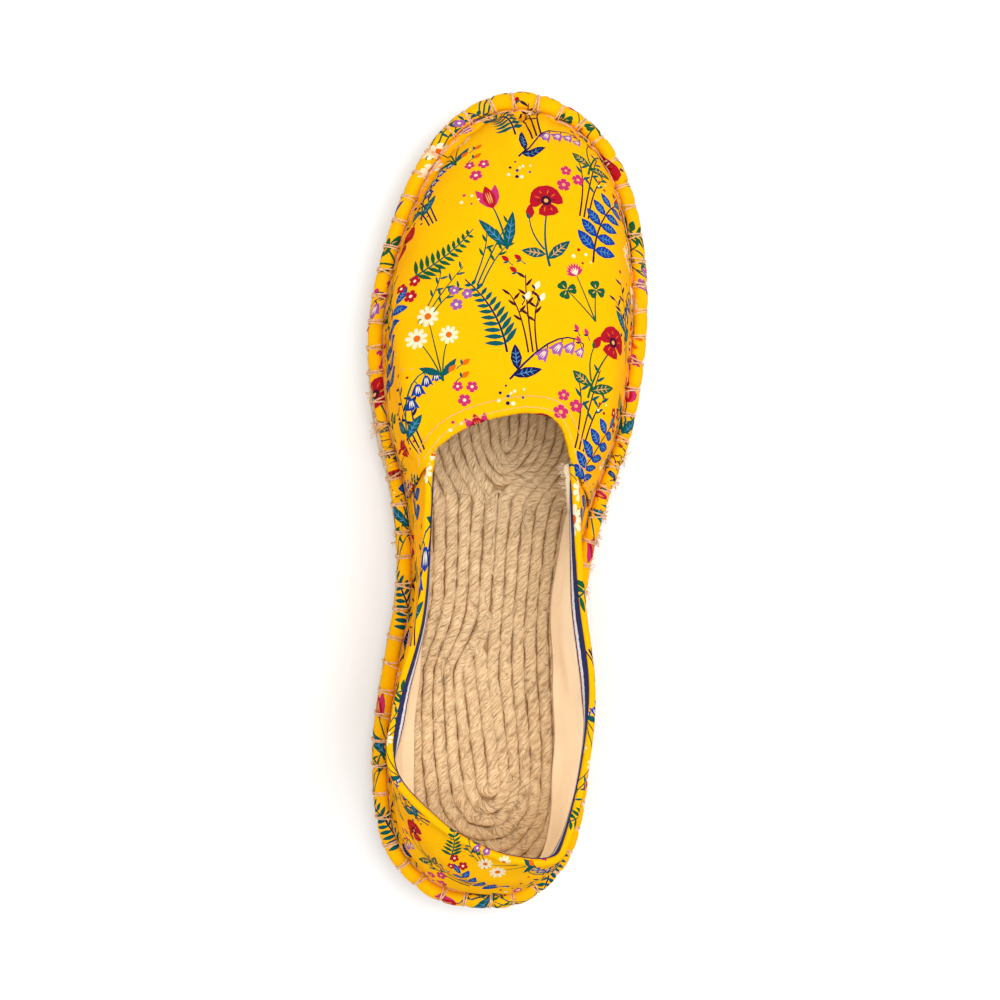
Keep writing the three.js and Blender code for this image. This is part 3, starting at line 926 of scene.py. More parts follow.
def shape_grid(name, points, uv=None, shell=True):
    """A grid primitive moved to points [along, across], its meeting edges merged.

    A closed shell also has its faces turned outwards, and an open sheet keeps them as they are.
    """
    along, across = points.shape[0] - 1, points.shape[1] - 1
    deselect_all()
    bpy.ops.mesh.primitive_grid_add(x_subdivisions=along, y_subdivisions=across, size=2)
    piece = bpy.context.object
    piece.name = name
    mesh = piece.data
    mesh.name = name
    at = np.empty(len(mesh.vertices) * 3)
    mesh.vertices.foreach_get("co", at)
    at = at.reshape(-1, 3)
    i = np.rint((at[:, 0] + 1) / 2 * along).astype(int)
    j = np.rint((at[:, 1] + 1) / 2 * across).astype(int)
    if len(at) != (along + 1) * (across + 1):
        raise RuntimeError(f"{name}: the grid has {len(at)} points")
    mesh.vertices.foreach_set("co", (points[i, j] * MM).ravel())
    if uv is not None:
        corner = np.empty(len(mesh.loops), dtype=int)
        mesh.loops.foreach_get("vertex_index", corner)
        mesh.uv_layers[0].data.foreach_set("uv", uv[i, j][corner].ravel())
    mesh.update()
    bpy.ops.object.mode_set(mode="EDIT")
    bpy.ops.mesh.select_all(action="SELECT")
    bpy.ops.mesh.remove_doubles(threshold=MERGE_GAP)
    if shell:
        bpy.ops.mesh.normals_make_consistent(inside=False)
    bpy.ops.object.mode_set(mode="OBJECT")
    bpy.ops.object.shade_smooth()
    return piece


def join(pieces, name):
    deselect_all()
    for piece in pieces:
        piece.select_set(True)
    bpy.context.view_layer.objects.active = pieces[0]
    bpy.ops.object.join()
    joined = bpy.context.object
    joined.name = name
    joined.data.name = name
    return joined


def thread_runs(name, runs, radius, resolution=1):
    """Thin round threads along runs of points, made a mesh."""
    curve = bpy.data.curves.new(name, "CURVE")
    curve.dimensions = "3D"
    curve.bevel_depth = radius * MM
    curve.bevel_resolution = resolution
    curve.use_fill_caps = True
    for run in runs:
        spline = curve.splines.new("POLY")
        spline.points.add(len(run) - 1)
        spline.points.foreach_set("co", np.column_stack([run * MM, np.ones(len(run))]).ravel())
    make_active(new_object(name, curve))
    bpy.ops.object.convert(target="MESH")
    piece = bpy.context.object
    bpy.ops.object.shade_smooth()
    return piece


def settle(piece, material):
    """Material of a finished piece, in its only slot, and its body."""
    piece.data.materials.clear()
    piece.data.materials.append(material)
    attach(piece, "root")
    return piece


# Materials
class Nodes:
    """Shorthand for building one material's nodes."""

    def __init__(self, name, roughness):
        self.material = bpy.data.materials.new(name)
        self.material.use_nodes = True
        self.tree = self.material.node_tree
        self.shader = self.tree.nodes["Principled BSDF"]
        self.shader.inputs["Roughness"].default_value = roughness

    def feed(self, value, socket):
        """Links another node's output to a socket, or sets the socket to a constant."""
        if isinstance(value, bpy.types.NodeSocket):
            self.tree.links.new(value, socket)
        else:
            socket.default_value = value

    def add(self, kind, **values):
        """A node with its inputs fed and its settings set by name."""
        node = self.tree.nodes.new(kind)
        for key, value in values.items():
            if key in node.inputs:
                self.feed(value, node.inputs[key])
            else:
                setattr(node, key, value)
        return node

    def uv(self, name):
        return self.add("ShaderNodeUVMap", uv_map=name).outputs["UV"]

    def place(self):
        """Where a point lies on the shoe."""
        return self.add("ShaderNodeTexCoord").outputs["Object"]

    def axis(self, vector, name):
        return self.add("ShaderNodeSeparateXYZ", Vector=vector).outputs[name]

    def mapped(self, vector, scale, turn=0.0):
        node = self.add("ShaderNodeMapping", Vector=vector, Scale=scale, Rotation=(0, 0, turn))
        return node.outputs["Vector"]

    def noise(self, vector, scale, detail=3.0, roughness=0.55, output="Fac"):
        node = self.add("ShaderNodeTexNoise", Vector=vector, Scale=scale, Detail=detail, Roughness=roughness)
        return node.outputs[output]

    def bands(self, vector, direction, scale, distortion):
        node = self.add("ShaderNodeTexWave", bands_direction=direction, Vector=vector)
        node.inputs["Scale"].default_value = scale
        node.inputs["Distortion"].default_value = distortion
        return node.outputs["Fac"]

    def weave(self, vector, axes, scale, distortion, crossing):
        """Fine bands along two axes, put together by a sum or a product."""
        return self.math(crossing, *(self.bands(vector, axis, scale, distortion) for axis in axes))

    def ramp(self, factor, stops, interpolation="LINEAR"):
        node = self.add("ShaderNodeValToRGB", Fac=factor)
        node.color_ramp.interpolation = interpolation
        elements = node.color_ramp.elements
        while len(elements) < len(stops):
            elements.new(0.5)
        for element, (place, tint) in zip(elements, stops):
            element.position = place
            element.color = tint
        return node.outputs["Color"]

    def mix(self, factor, first, second, blend="MIX"):
        node = self.add("ShaderNodeMix", data_type="RGBA", blend_type=blend)
        for value, index in ((factor, 0), (first, 6), (second, 7)):
            self.feed(value, node.inputs[index])
        return node.outputs[2]

    def tone(self, factor, first, second):
        """One colour toned by another, by a part of its strength."""
        return self.mix(factor, first, second, "MULTIPLY")

    def math(self, operation, *values):
        node = self.add("ShaderNodeMath", operation=operation)
        for value, socket in zip(values, node.inputs):
            self.feed(value, socket)
        return node.outputs["Value"]

    def bump(self, height, distance, strength):
        """Relief of a depth in millimetres, over what relief the shader has."""
        normal = self.shader.inputs["Normal"]
        node = self.add("ShaderNodeBump", Height=height, Distance=distance * MM, Strength=strength)
        if normal.is_linked:
            self.feed(normal.links[0].from_socket, node.inputs["Normal"])
        self.feed(node.outputs["Normal"], normal)

    def colour(self, socket):
        self.feed(socket, self.shader.inputs["Base Color"])


BLACK = (0, 0, 0, 1)
WHITE = (1, 1, 1, 1)
GREY_LOW = (0.86, 0.86, 0.86, 1)
GREY_HIGH = (1.06, 1.06, 1.06, 1)
# Painted shade on the steep walls of the cloth, painted shade as dark marks in the yarn hollows and in the
# grooves of the rope, painted shade in patches of the thread, then wear and floor
STEEP_SHADE = (1.0, 0.85, 0.58, 1)
YARN_HOLLOW_SHADE = (0.5, 0.42, 0.33, 1)
GROOVE_SHADE = (0.86, 0.62, 0.38, 1)
THREAD_SHADE_DARK = (0.62, 0.52, 0.43, 1)
THREAD_SHADE_LIGHT = (1.05, 1.05, 1.05, 1)
WORN_TINT = (0.7, 0.7, 0.72, 1)
FLOOR_LOW = (0.985, 0.985, 0.985, 1)
# Painted shade in the grooves of the rope: height over which it fades and how ragged that is, in millimetres
GROOVE_FADE = 0.8
GROOVE_RAGGED = 1.2
FIBRE_SLANT = math.radians(-44)
# Bands of the tape by their start across it, and how far their edges wander
TAPE_BANDS = [(0.0, "tape_blue"), (0.19, "tape_white"), (0.295, "tape_red"), (0.35, "lining")]
TAPE_WANDER = 0.07
# Millimetres to one unit of a pattern
UV_UNIT = 100.0
TAPE_UNIT = 10.0


def printed_cotton():
    """Matt plain-woven cotton with its print in a face-corner attribute, and painted shade that makes it
    darker and more orange where the cloth is steep.
    """
    cotton = Nodes("printed_cotton", 0.82)
    cotton.shader.inputs["Specular IOR Level"].default_value = 0.02
    printed = cotton.add("ShaderNodeVertexColor", layer_name="print").outputs["Color"]
    uv = cotton.uv("cloth")
    patchy = cotton.ramp(cotton.noise(uv, 14.0), [(0.3, GREY_LOW), (0.7, GREY_HIGH)])
    slubs = cotton.noise(cotton.mapped(uv, (40, 700, 1)), 1.0, 2.0)
    slubbed = cotton.ramp(slubs, [(0.3, GREY_LOW), (0.75, GREY_HIGH)])
    # Painted shade: the steeper the cloth, the darker and more orange its colour, as shade on the walls.
    upright = cotton.axis(cotton.add("ShaderNodeNewGeometry").outputs["Normal"], "Z")
    slope_shade = cotton.ramp(upright, [(0.15, STEEP_SHADE), (0.62, WHITE)])
    toned = cotton.tone(0.3, printed, patchy)
    wall_shaded = cotton.tone(1.0, toned, slope_shade)
    cotton.colour(cotton.tone(0.35, wall_shaded, slubbed))
    cotton.bump(cotton.weave(uv, "XY", 60.0, 0.4, "MULTIPLY"), distance=0.06, strength=0.6)
    cotton.bump(cotton.noise(uv, 22.0, 2.0), distance=0.5, strength=0.5)
    return cotton.material


def lining_cotton():
    """Unbleached cotton with a fine weave."""
    cotton = Nodes("lining_cotton", 0.88)
    at = cotton.place()
    shade = cotton.ramp(cotton.noise(at, 90.0), [(0.25, GREY_LOW), (0.75, GREY_HIGH)])
    cotton.colour(cotton.tone(0.5, colour("lining"), shade))
    cotton.bump(cotton.weave(at, "ZY", 650.0, 0.5, "ADD"), distance=0.05, strength=0.5)
    cotton.bump(cotton.noise(at, 130.0, 2.0), distance=0.4, strength=0.4)
    return cotton.material


def jute_rope(name, tint, groove=None):
    """Twisted jute: slanted fibres over each strand, dark broken marks of painted shade in the hollows
    between the yarns, and painted shade in the grooves below a height.
    """
    jute = Nodes(name, 0.9)
    jute.shader.inputs["Specular IOR Level"].default_value = 0.15
    uv = jute.uv("UVMap")
    at = jute.place()
    bent = jute.mix(0.012, uv, jute.noise(at, 220.0, 2.0, 0.5, "Color"), "ADD")
    slanted = jute.mapped(bent, (1, 1, 1), FIBRE_SLANT)
    yarns = jute.noise(jute.mapped(slanted, (120, 13, 1)), 1.0)
    fibres = jute.noise(jute.mapped(slanted, (240, 38, 1)), 1.0, 5.0, 0.75)
    patches = jute.noise(at, 70.0)
    fibre_tone = jute.ramp(fibres, [(0.38, BLACK), (0.58, WHITE)])
    body = jute.mix(fibre_tone, colour("jute_shade"), tint)
    toned = jute.tone(0.6, body, jute.ramp(patches, [(0.3, GREY_LOW), (0.7, GREY_HIGH)]))
    # Painted shade: dark broken marks where the yarn noise is low, in the hollows of the yarn bump.
    shaded_jute = jute.tone(0.7, toned, jute.ramp(yarns, [(0.34, YARN_HOLLOW_SHADE), (0.46, WHITE)]))
    # Painted shade in the grooves between the strands: darker below a height, with a ragged edge.
    if groove is not None:
        broken = jute.math("ADD", patches, jute.noise(at, 620.0, 2.0))
        ragged = jute.math("MULTIPLY_ADD", broken, GROOVE_RAGGED * MM, -(GROOVE_RAGGED + groove) * MM)
        above = jute.math("ADD", jute.axis(at, "Z"), ragged)
        depth = jute.math("MULTIPLY", above, 1 / (GROOVE_FADE * MM))
        shaded_jute = jute.tone(1.0, shaded_jute, jute.ramp(depth, [(0.0, GROOVE_SHADE), (1.0, WHITE)]))
    jute.colour(shaded_jute)
    jute.bump(yarns, distance=0.8, strength=0.8)
    jute.bump(fibres, distance=0.4, strength=1.0)
    return jute.material


def stitch_thread():
    """Soft peach cotton thread, darkened in random patches by painted shade that stands in for the hollows
    of the stitching.
    """
    thread = Nodes("stitch_thread", 0.8)
    at = thread.place()
    # Painted shade in random patches, standing in for the hollows of the stitching.
    shade = thread.ramp(thread.noise(at, 900.0, 2.0), [(0.3, THREAD_SHADE_DARK), (0.62, THREAD_SHADE_LIGHT)])
    thread.colour(thread.tone(0.8, colour("thread"), shade))
    thread.bump(thread.noise(at, 1500.0, 2.0), distance=0.15, strength=0.8)
    return thread.material


def striped_tape():
    """Woven tape with a navy, a white and a thin red band."""
    tape = Nodes("striped_tape", 0.8)
    uv = tape.uv("UVMap")
    uneven = tape.math("MULTIPLY", tape.noise(tape.mapped(uv, (75, 3, 1)), 1.0, 2.0), TAPE_WANDER)
    place = tape.math("ADD", tape.axis(uv, "Y"), tape.math("SUBTRACT", uneven, TAPE_WANDER / 2))
    striped = tape.ramp(place, [(start, colour(name)) for start, name in TAPE_BANDS], "CONSTANT")
    wear = tape.noise(tape.mapped(uv, (160, 12, 1)), 1.0)
    worn = tape.ramp(wear, [(0.3, WORN_TINT), (0.6, WHITE)])
    tape.colour(tape.tone(0.6, striped, worn))
    tape.bump(tape.bands(uv, "X", 180.0, 0.3), distance=0.08, strength=0.6)
    return tape.material


def pale_floor():
    """Plain floor, barely uneven."""
    floor = Nodes("pale_floor", 0.9)
    shade = floor.ramp(floor.noise(floor.place(), 6.0), [(0.3, FLOOR_LOW), (0.7, WHITE)])
    floor.colour(floor.tone(1.0, colour("floor"), shade))
    return floor.material


FINISHES = {}


def finish_of(maker, *settings):
    """A material made once and shared."""
    name = settings[0] if settings else maker.__name__
    if name not in FINISHES:
        FINISHES[name] = maker(*settings)
    return FINISHES[name]


# Rope: how square a strand is, the points of a turn, and how far its corners are rounded
STRAND_SQUARE = (0.8, 0.6)
LAP_POINTS = 720
NEST_POINTS = 420
ROUND_SOFT = 10
NEST_SOFT = 12
RIM_GAP = 0.4
SHORT_WIDTH = 2.1
STRAND_WIDTHS = (1.5, 5.2)
STRAND_HALF = 0.53
# Unevenness of a strand sideways, in height and in width, with the lengths of its waves
SIDE_WAVER = 0.3
SIDE_WAVES = (34, 15, 7)
RISE_WAVER = 0.1
RISE_WAVES = (25, 9)
WIDTH_WAVER = 0.06
WIDTH_WAVES = (18, 8)


def closed_run(points, extra, step):
    """A closed run and its widths at even steps, the last point equal to the first."""
    ring = np.concatenate([np.column_stack([points, extra]), [np.append(points[0], extra[0])]])
    lengths = run_lengths(ring[:, :3])
    at = np.linspace(0, lengths[-1], max(8, round(lengths[-1] / step)) + 1)
    even = np.stack([np.interp(at, lengths, ring[:, k]) for k in range(4)], axis=1)
    return even[:, :3], even[:, 3]


def soften(points, passes):
    """Rounds the corners of a closed run."""
    for _ in range(passes):
        points = 0.5 * points + 0.25 * (np.roll(points, 1, axis=0) + np.roll(points, -1, axis=0))
    return points


def heading(ring):
    """Direction of a closed run at each of its points."""
    return unit(np.roll(ring, -1, axis=0) - np.roll(ring, 1, axis=0))


def rope_grid(path, half_wide, half_high, sides, yarns, lay, groove, phase):
    """Points and pattern lengths of a twisted strand along a closed path."""
    tangent = heading(path[:-1])
    tangent = np.concatenate([tangent, tangent[:1]])
    across = unit(np.cross(tangent, [0, 0, 1]))
    rise = np.cross(across, tangent)
    along = run_lengths(path)
    passes = max(1, round(along[-1] / lay * yarns))
    angle = np.linspace(0, 2 * np.pi, sides + 1)
    twist = yarns * angle[None, :] + 2 * np.pi * passes * along[:, None] / along[-1] + phase
    swell = 1 - groove * (1 - np.abs(np.cos(twist / 2)))
    square_x = np.sign(np.cos(angle)) * np.abs(np.cos(angle)) ** STRAND_SQUARE[0]
    square_z = np.sign(np.sin(angle)) * np.abs(np.sin(angle)) ** STRAND_SQUARE[1]
    flat = (half_wide[:, None] * square_x * swell)[..., None] * across[:, None, :]
    tall = (half_high * square_z * swell)[..., None] * rise[:, None, :]
    girth = np.pi * (half_wide.mean() + half_high)
    about = angle * girth / (2 * np.pi)
    uv = np.stack(np.broadcast_arrays(along[:, None], about[None, :]), -1) / UV_UNIT
    return path[:, None, :] + flat + tall, uv


def line_at(table, turn):
    """Plan points of a line given by turn, x and y."""
    return np.stack([np.interp(turn, table[:, 0], table[:, k], period=ROWS_ROUND) for k in (1, 2)], axis=-1)


def round_turn(turn, share):
    """Plan points of a turn of the coil that runs right round, and the strand width there."""
    rim = inside_rim(turn, RIM_GAP)
    core = line_at(CORE, turn)
    pitch = np.linalg.norm(rim - core, axis=-1) / ROUND_TURNS
    return rim + (core - rim) * share, pitch


def nest_turn(turn, share):
    """Plan points of a turn of the nest under the ball, and the strand width there."""
    core, spine = line_at(CORE, turn), line_at(SPINE, turn)
    pitch = np.linalg.norm(spine - core, axis=-1) / NEST_TURNS
    return core + (spine - core) * share, pitch


def short_turn(front, back, reach):
    """Plan points of a short turn inside the coil, and its strand width."""
    front, back = np.array(front), np.array(back)
    run = unit(back - front)
    side = left_of(run)
    arc = np.linspace(-np.pi / 2, np.pi / 2, 12)[:, None]
    head = front + reach * (np.sin(arc) * side - np.cos(arc) * run)
    tail = back + reach * (-np.sin(arc) * side + np.cos(arc) * run)
    points = np.concatenate([head, tail])
    return points, np.full(len(points), SHORT_WIDTH * reach)


def coil_turns(first):
    """Plan runs of all strands of the coil from a round turn inwards, with their widths."""
    runs = []
    lap = np.linspace(0, ROWS_ROUND, LAP_POINTS, endpoint=False)
    for k in range(first, ROUND_TURNS):
        points, pitch = round_turn(lap, (k + 0.5) / ROUND_TURNS)
        runs.append((soften(points, ROUND_SOFT), pitch))
    front = np.linspace(OUTER_SEAM, ROWS_ROUND + INNER_SEAM, NEST_POINTS)
    for k in range(NEST_TURNS):
        points, pitch = nest_turn(front, (k + 0.5) / NEST_TURNS)
        runs.append((soften(points, NEST_SOFT), pitch))
    return runs + [short_turn(*ends) for ends in SHORT_TURNS]


def waver(count, step, waves, rng):
    """Uneven wave between about -1 and 1 round a closed run, from waves of the given lengths."""
    part = np.arange(count) / count
    total = np.zeros(count)
    for length in waves:
        cycles = max(1, round(count * step / length))
        total += np.sin(2 * np.pi * cycles * part + rng.uniform(0, 6))
    return total / len(waves)


def rope_coil(name, first, middle, half_high, step, sides, yarns, groove):
    """All strands of a coil laid at one height, as one piece."""
    rng = np.random.default_rng(SEED)
    strands = []
    for plan, pitch in coil_turns(first):
        even, width = closed_run(raised(plan, middle), pitch, step)
        side = raised(left_of(heading(even[:-1])), 0.0)
        count = len(side)
        side *= (SIDE_WAVER * waver(count, step, SIDE_WAVES, rng))[:, None]
        side[:, 2] = RISE_WAVER * waver(count, step, RISE_WAVES, rng)
        path = np.concatenate([even[:-1] + side, even[:1] + side[:1]])
        half = np.clip(width, *STRAND_WIDTHS) * STRAND_HALF
        half[:-1] *= 1 + WIDTH_WAVER * waver(count, step, WIDTH_WAVES, rng)
        half[-1] = half[0]
        points, uv = rope_grid(path, half, half_high, sides, yarns, STRAND_LAY, groove, rng.uniform(0, 6))
        strands.append(shape_grid(name, points, uv))
    return join(strands, name)


# Footbed and tread: how proud the bed stands, where the painted shade of its grooves starts, and the room
# under the tread
BED_PROUD = 0.2
BED_GROOVE = 1.3
TREAD_GAP = 0.1
TREAD_FLAT = 0.98
# Packed core of the sole
CORE_POINTS = 121
CORE_INSET = 3.4
CORE_LOW = 2.0
CORE_HIGH = 15.4
# Plaits round the side
PLAIT_POINTS = 2400
PLAIT_WAVE = 13.0
PLAIT_SHIFT = 0.21
PLAIT_INSET = 2.2
PLAIT_DEPTH = 0.75
PLAIT_SWING = 1.5
PLAIT_RADIUS = 1.25
PLAIT_STEP = 1.5


class ESPADRILLE_OT_sole(bpy.types.Operator):
    """Jute sole: the core, the coiled rope of the footbed and of the tread, and the plaits round the side"""

    bl_idname = "espadrille.sole"
    bl_label = "Jute sole"

    def execute(self, context):
        core = self.core()
        # The core shows only in the gaps between the strands. It takes the darker fibre colour all over, as
        # painted shade of those gaps.
        settle(core, finish_of(jute_rope, "jute_core", colour("jute_shade")))
        half = mm("rope_height") / 2
        bed = rope_coil("footbed_rope", first=COVERED_TURNS, middle=SOLE_TOP + BED_PROUD - half,
                        half_high=half, step=0.75, sides=14, yarns=3, groove=0.14)
        settle(bed, finish_of(jute_rope, "jute_bed", colour("jute"), SOLE_TOP - BED_GROOVE))
        tread = rope_coil("tread_rope", first=0, middle=half + TREAD_GAP,
                          half_high=half * TREAD_FLAT, step=2.6, sides=8, yarns=4, groove=0.12)
        settle(tread, finish_of(jute_rope, "jute_rope", colour("jute")))
        side = self.plaits()
        settle(side, finish_of(jute_rope, "jute_rope", colour("jute")))
        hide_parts("sole")
        return {"FINISHED"}

    def core(self):
        """Packed jute that fills the sole behind its strands."""
        turn = np.linspace(0, ROWS_ROUND, CORE_POINTS)
        rim = inside_rim(turn, CORE_INSET)
        corners = ((0.0, CORE_LOW), (1.0, CORE_LOW), (1.0, CORE_HIGH), (0.0, CORE_HIGH))
        points = np.stack([raised(rim * share, height) for share, height in corners], axis=1)
        walk = walked(turn)[:, None] / UV_UNIT
        uv = np.stack(np.broadcast_arrays(walk, np.linspace(0, 0.5, 4)[None, :]), -1)
        return shape_grid("sole_core", points, uv)

    def plaits(self):
        """Stacked three-strand plaits round the side."""
        strands = []
        height = SOLE_TOP / SIDE_PLAITS
        lap = np.linspace(0, ROWS_ROUND, PLAIT_POINTS, endpoint=False)
        walk = walked(lap)
        waves = round(LAP / PLAIT_WAVE)
        for plait in range(SIDE_PLAITS):
            for strand in range(PLAIT_STRANDS):
                phase = 2 * np.pi * (waves * walk / LAP + strand / PLAIT_STRANDS + PLAIT_SHIFT * plait)
                inset = PLAIT_INSET + PLAIT_DEPTH * np.sin(2 * phase)
                z = height * (plait + 0.5) + PLAIT_SWING * np.sin(phase)
                path = raised(inside_rim(lap, inset), z)
                path, half = closed_run(path, np.full(len(lap), PLAIT_RADIUS), PLAIT_STEP)
                points, uv = rope_grid(path, half, PLAIT_RADIUS, sides=8, yarns=3, lay=PLAIT_LAY,
                                       groove=0.14, phase=strand)
                strands.append(shape_grid("side_plait", points, uv))
        return join(strands, "side_plaits")


# Tape inside the collar: turn, where it starts on the round lip in degrees over the top,
# and its lean from upright
TAPE_LAY = np.array([
    (6.0, 148, 18), (6.6, 142, 26), (7.1, 134, 38), (7.7, 132, 40), (8.1, 138, 28), (8.5, 160, 4),
    (8.8, 176, 1), (9.4, 176, 1), (9.8, 150, 10), (10.3, 134, 22), (10.8, 140, 18), (11.2, 164, 2),
    (11.6, 176, 1), (14.8, 176, 1), (15.2, 160, 4), (15.5, 126, 30), (15.75, 118, 40),
    (15.9, 118, 40), (16.6, 136, 22), (18.0, 140, 16),
])


def tape_lay(turn):
    """Start on the lip and lean of the tape at each turn, in radians."""
    return (np.radians(np.interp(turn, TAPE_LAY[:, 0], TAPE_LAY[:, k])) for k in (1, 2))


# Lining: rows of its foot by distance out from its inner edge and height, then shares up the wall
LINING_POINTS = 289
LINING_ROWS = ((0.0, 17.35), (0.3, 18.2), (0.6, 19.0))
LINING_SHARES = (0.08, 0.14, 0.2, 0.28, 0.36, 0.46, 0.58, 0.7, 0.82, 0.9, 0.94, 0.97, 0.985)
# Waves of its inner edge: millimetres, length and start
LINING_EDGE = ((0.25, 9.0, 0), (0.18, 4.1, 1))
# Where its foot reaches further in, or less far where below 0: turn, half width in turns and millimetres
LINING_REACH = ((7.0, 0.9, -1.4), (15.2, 1.0, 0.9))
# Where it keeps close to the wall: turn, half width in turns and weight, then millimetres at foot and wall
LINING_CLOSE = ((17.1, 0.8, 1.0), (10.7, 1.3, 1.4))
CLOSE_FOOT = 3.0
CLOSE_WALL = 2.6
LINING_TUCK = 0.3
LINING_WAVE = 0.3
LINING_WAVES = (5.3, 17.0)
LINING_SHEET = 0.35
THIN_SHEET = 0.3
# Frayed end: reach inwards, fall and share of the raggedness, row by row
FRAYED_ROWS = ((1.0, 2.6, 0.0), (1.6, 3.0, 0.0), (2.3, 3.6, 0.3), (2.9, 4.6, 1.0))
FRAYED_POINTS = 49
FRAYED_RAG = 0.35
FRAYED_WAVE = 0.4
FRAYED_THREADS = 30
FRAYED_RADIUS = 0.09


class ESPADRILLE_OT_lining(bpy.types.Operator):
    """Cotton lining, with its turned-in foot on the rope"""

    bl_idname = "espadrille.lining"
    bl_label = "Lining"

    def execute(self, context):
        turn = np.linspace(0, ROWS_ROUND, LINING_POINTS)
        walk = walked(turn)
        uneven = sum(size * np.sin(walk / length + start) for size, length, start in LINING_EDGE)
        close = sum(weight * bump(turn, middle, half) for middle, half, weight in LINING_CLOSE)
        turned_in = LINING_INSET + uneven
        for middle, half, reach in LINING_REACH:
            turned_in = turned_in + reach * bump(turn, middle, half)
        turned_in = turned_in - CLOSE_FOOT * close
        rows = [raised(inside_rim(turn, turned_in - out), height) for out, height in LINING_ROWS]
        _, lean = tape_lay(turn)
        lean *= 1 - on_vamp(turn)
        wave = LINING_WAVE * np.sin(walk / LINING_WAVES[0]) * np.sin(walk / LINING_WAVES[1])
        for share in LINING_SHARES:
            at = cloth(turn, share)
            part = np.clip((at[:, 2] - HEM_BASE) / LINING_FOOT_RISE, 0, 1)
            below = np.minimum(below_edge(turn, share), LINING_MEETS)
            slack = np.maximum(np.tan(lean) * below - LINING_TUCK, 0)
            flare = (LINING_FOOT - LINING_WALL - CLOSE_WALL * close) * (1 - part) ** 2
            depth = LINING_WALL + np.maximum(slack, flare)
            soft = wave * (1 - share)
            rows.append(at - cloth_normal(turn, share) * (depth + soft)[:, None])
        piece = shape_grid("lining", np.stack(rows, axis=1), shell=False)
        apply_solidify(piece, LINING_SHEET, 0)
        settle(piece, finish_of(lining_cotton))
        settle(self.frayed_end(), finish_of(lining_cotton))
        return {"FINISHED"}

    def frayed_end(self):
        """Raw end of the lining that hangs from the inner corner of the throat."""
        rng = np.random.default_rng(SEED)
        turn = np.linspace(*FRAYED_TURNS, FRAYED_POINTS)
        edge = cloth(turn, 1.0)
        run = unit(np.gradient(edge[:, :2], axis=0))
        inward = raised(-left_of(run), 0.0)
        drop = np.array([0, 0, -1.0])
        ragged = rng.uniform(-FRAYED_RAG, FRAYED_RAG, len(turn))
        ragged = ragged + FRAYED_WAVE * np.sin(np.linspace(0, 9, len(turn)))
        full = np.sin(np.linspace(0.25, np.pi - 0.1, len(turn))) ** 0.5
        rows = []
        for reach, fall, rag in FRAYED_ROWS:
            away = ((reach + rag * ragged) * full)[:, None]
            rows.append(edge + inward * away + np.outer(fall + rag * ragged, drop))
        strip = shape_grid("lining_end", np.stack(rows, axis=1), shell=False)
        apply_solidify(strip, THIN_SHEET, 0)
        runs = []
        t = np.linspace(0, 1, 6)
        for column in rng.integers(2, len(turn) - 2, FRAYED_THREADS):
            away = inward[column] * rng.uniform(0.2, 1.0) + drop * rng.uniform(0.3, 1.0)
            sway = np.outer(np.sin(2.5 * t) * rng.uniform(-0.9, 0.9), np.append(run[column], 0))
            runs.append(rows[-1][column] + np.outer(t * rng.uniform(0.6, 1.8), away) + sway)
        return join([strip, thread_runs("lining_threads", runs, FRAYED_RADIUS, 0)], "lining_end")


# Points of a printed panel on its flat pattern: shares of its rows with their spacing,
# then those of its rim and of the field between
PRINT_ROWS = (
    ((-1.9, -1.75, -1.55, -1.35, -1.2), 1.2),
    ((-1.1, -1.0, -0.75), 0.6),
    ((-0.5, -0.25, 0.0), 1.4),
    ((1.0, 1.08, 1.16, 1.24, 1.3, 1.45), 2.0),
)
RIM_STEP = 2.0
FIELD_STEP = 2.2
FIELD_SHARES = (0.02, 0.985)
SAME_POINT = 1e-4


def cut_print(panel, rim, low, high, shapes):
    """Flat points and triangles of a panel cut along its print, and the uppermost shape on each triangle."""
    rows = [panel.row(share, step) for shares, step in PRINT_ROWS for share in shares]
    across, up = (np.arange(low[k], high[k], FIELD_STEP) for k in (0, 1))
    field = np.stack([side.ravel() for side in np.meshgrid(across, up)], 1)
    _, share, miss = panel.locate(field)
    rows.append(field[(miss < SAME_POINT) & (share > FIELD_SHARES[0]) & (share < FIELD_SHARES[1])])
    points = np.concatenate([rim] + rows + [shape for _, shape in shapes])
    faces = [list(range(len(rim)))]
    start = len(rim) + sum(len(row) for row in rows)
    for _, shape in shapes:
        faces.append(list(range(start, start + len(shape))))
        start += len(shape)
    flat, _, cells, _, _, owners = delaunay_2d_cdt([Vector(p) for p in points], [], faces, 0, SAME_POINT)
    inside = [k for k, owner in enumerate(owners) if 0 in owner]
    top = np.array([max(owners[k]) for k in inside])
    used, cells = np.unique(np.array([cells[k] for k in inside]), return_inverse=True)
    return np.array(flat)[used], cells.reshape(-1, 3), top


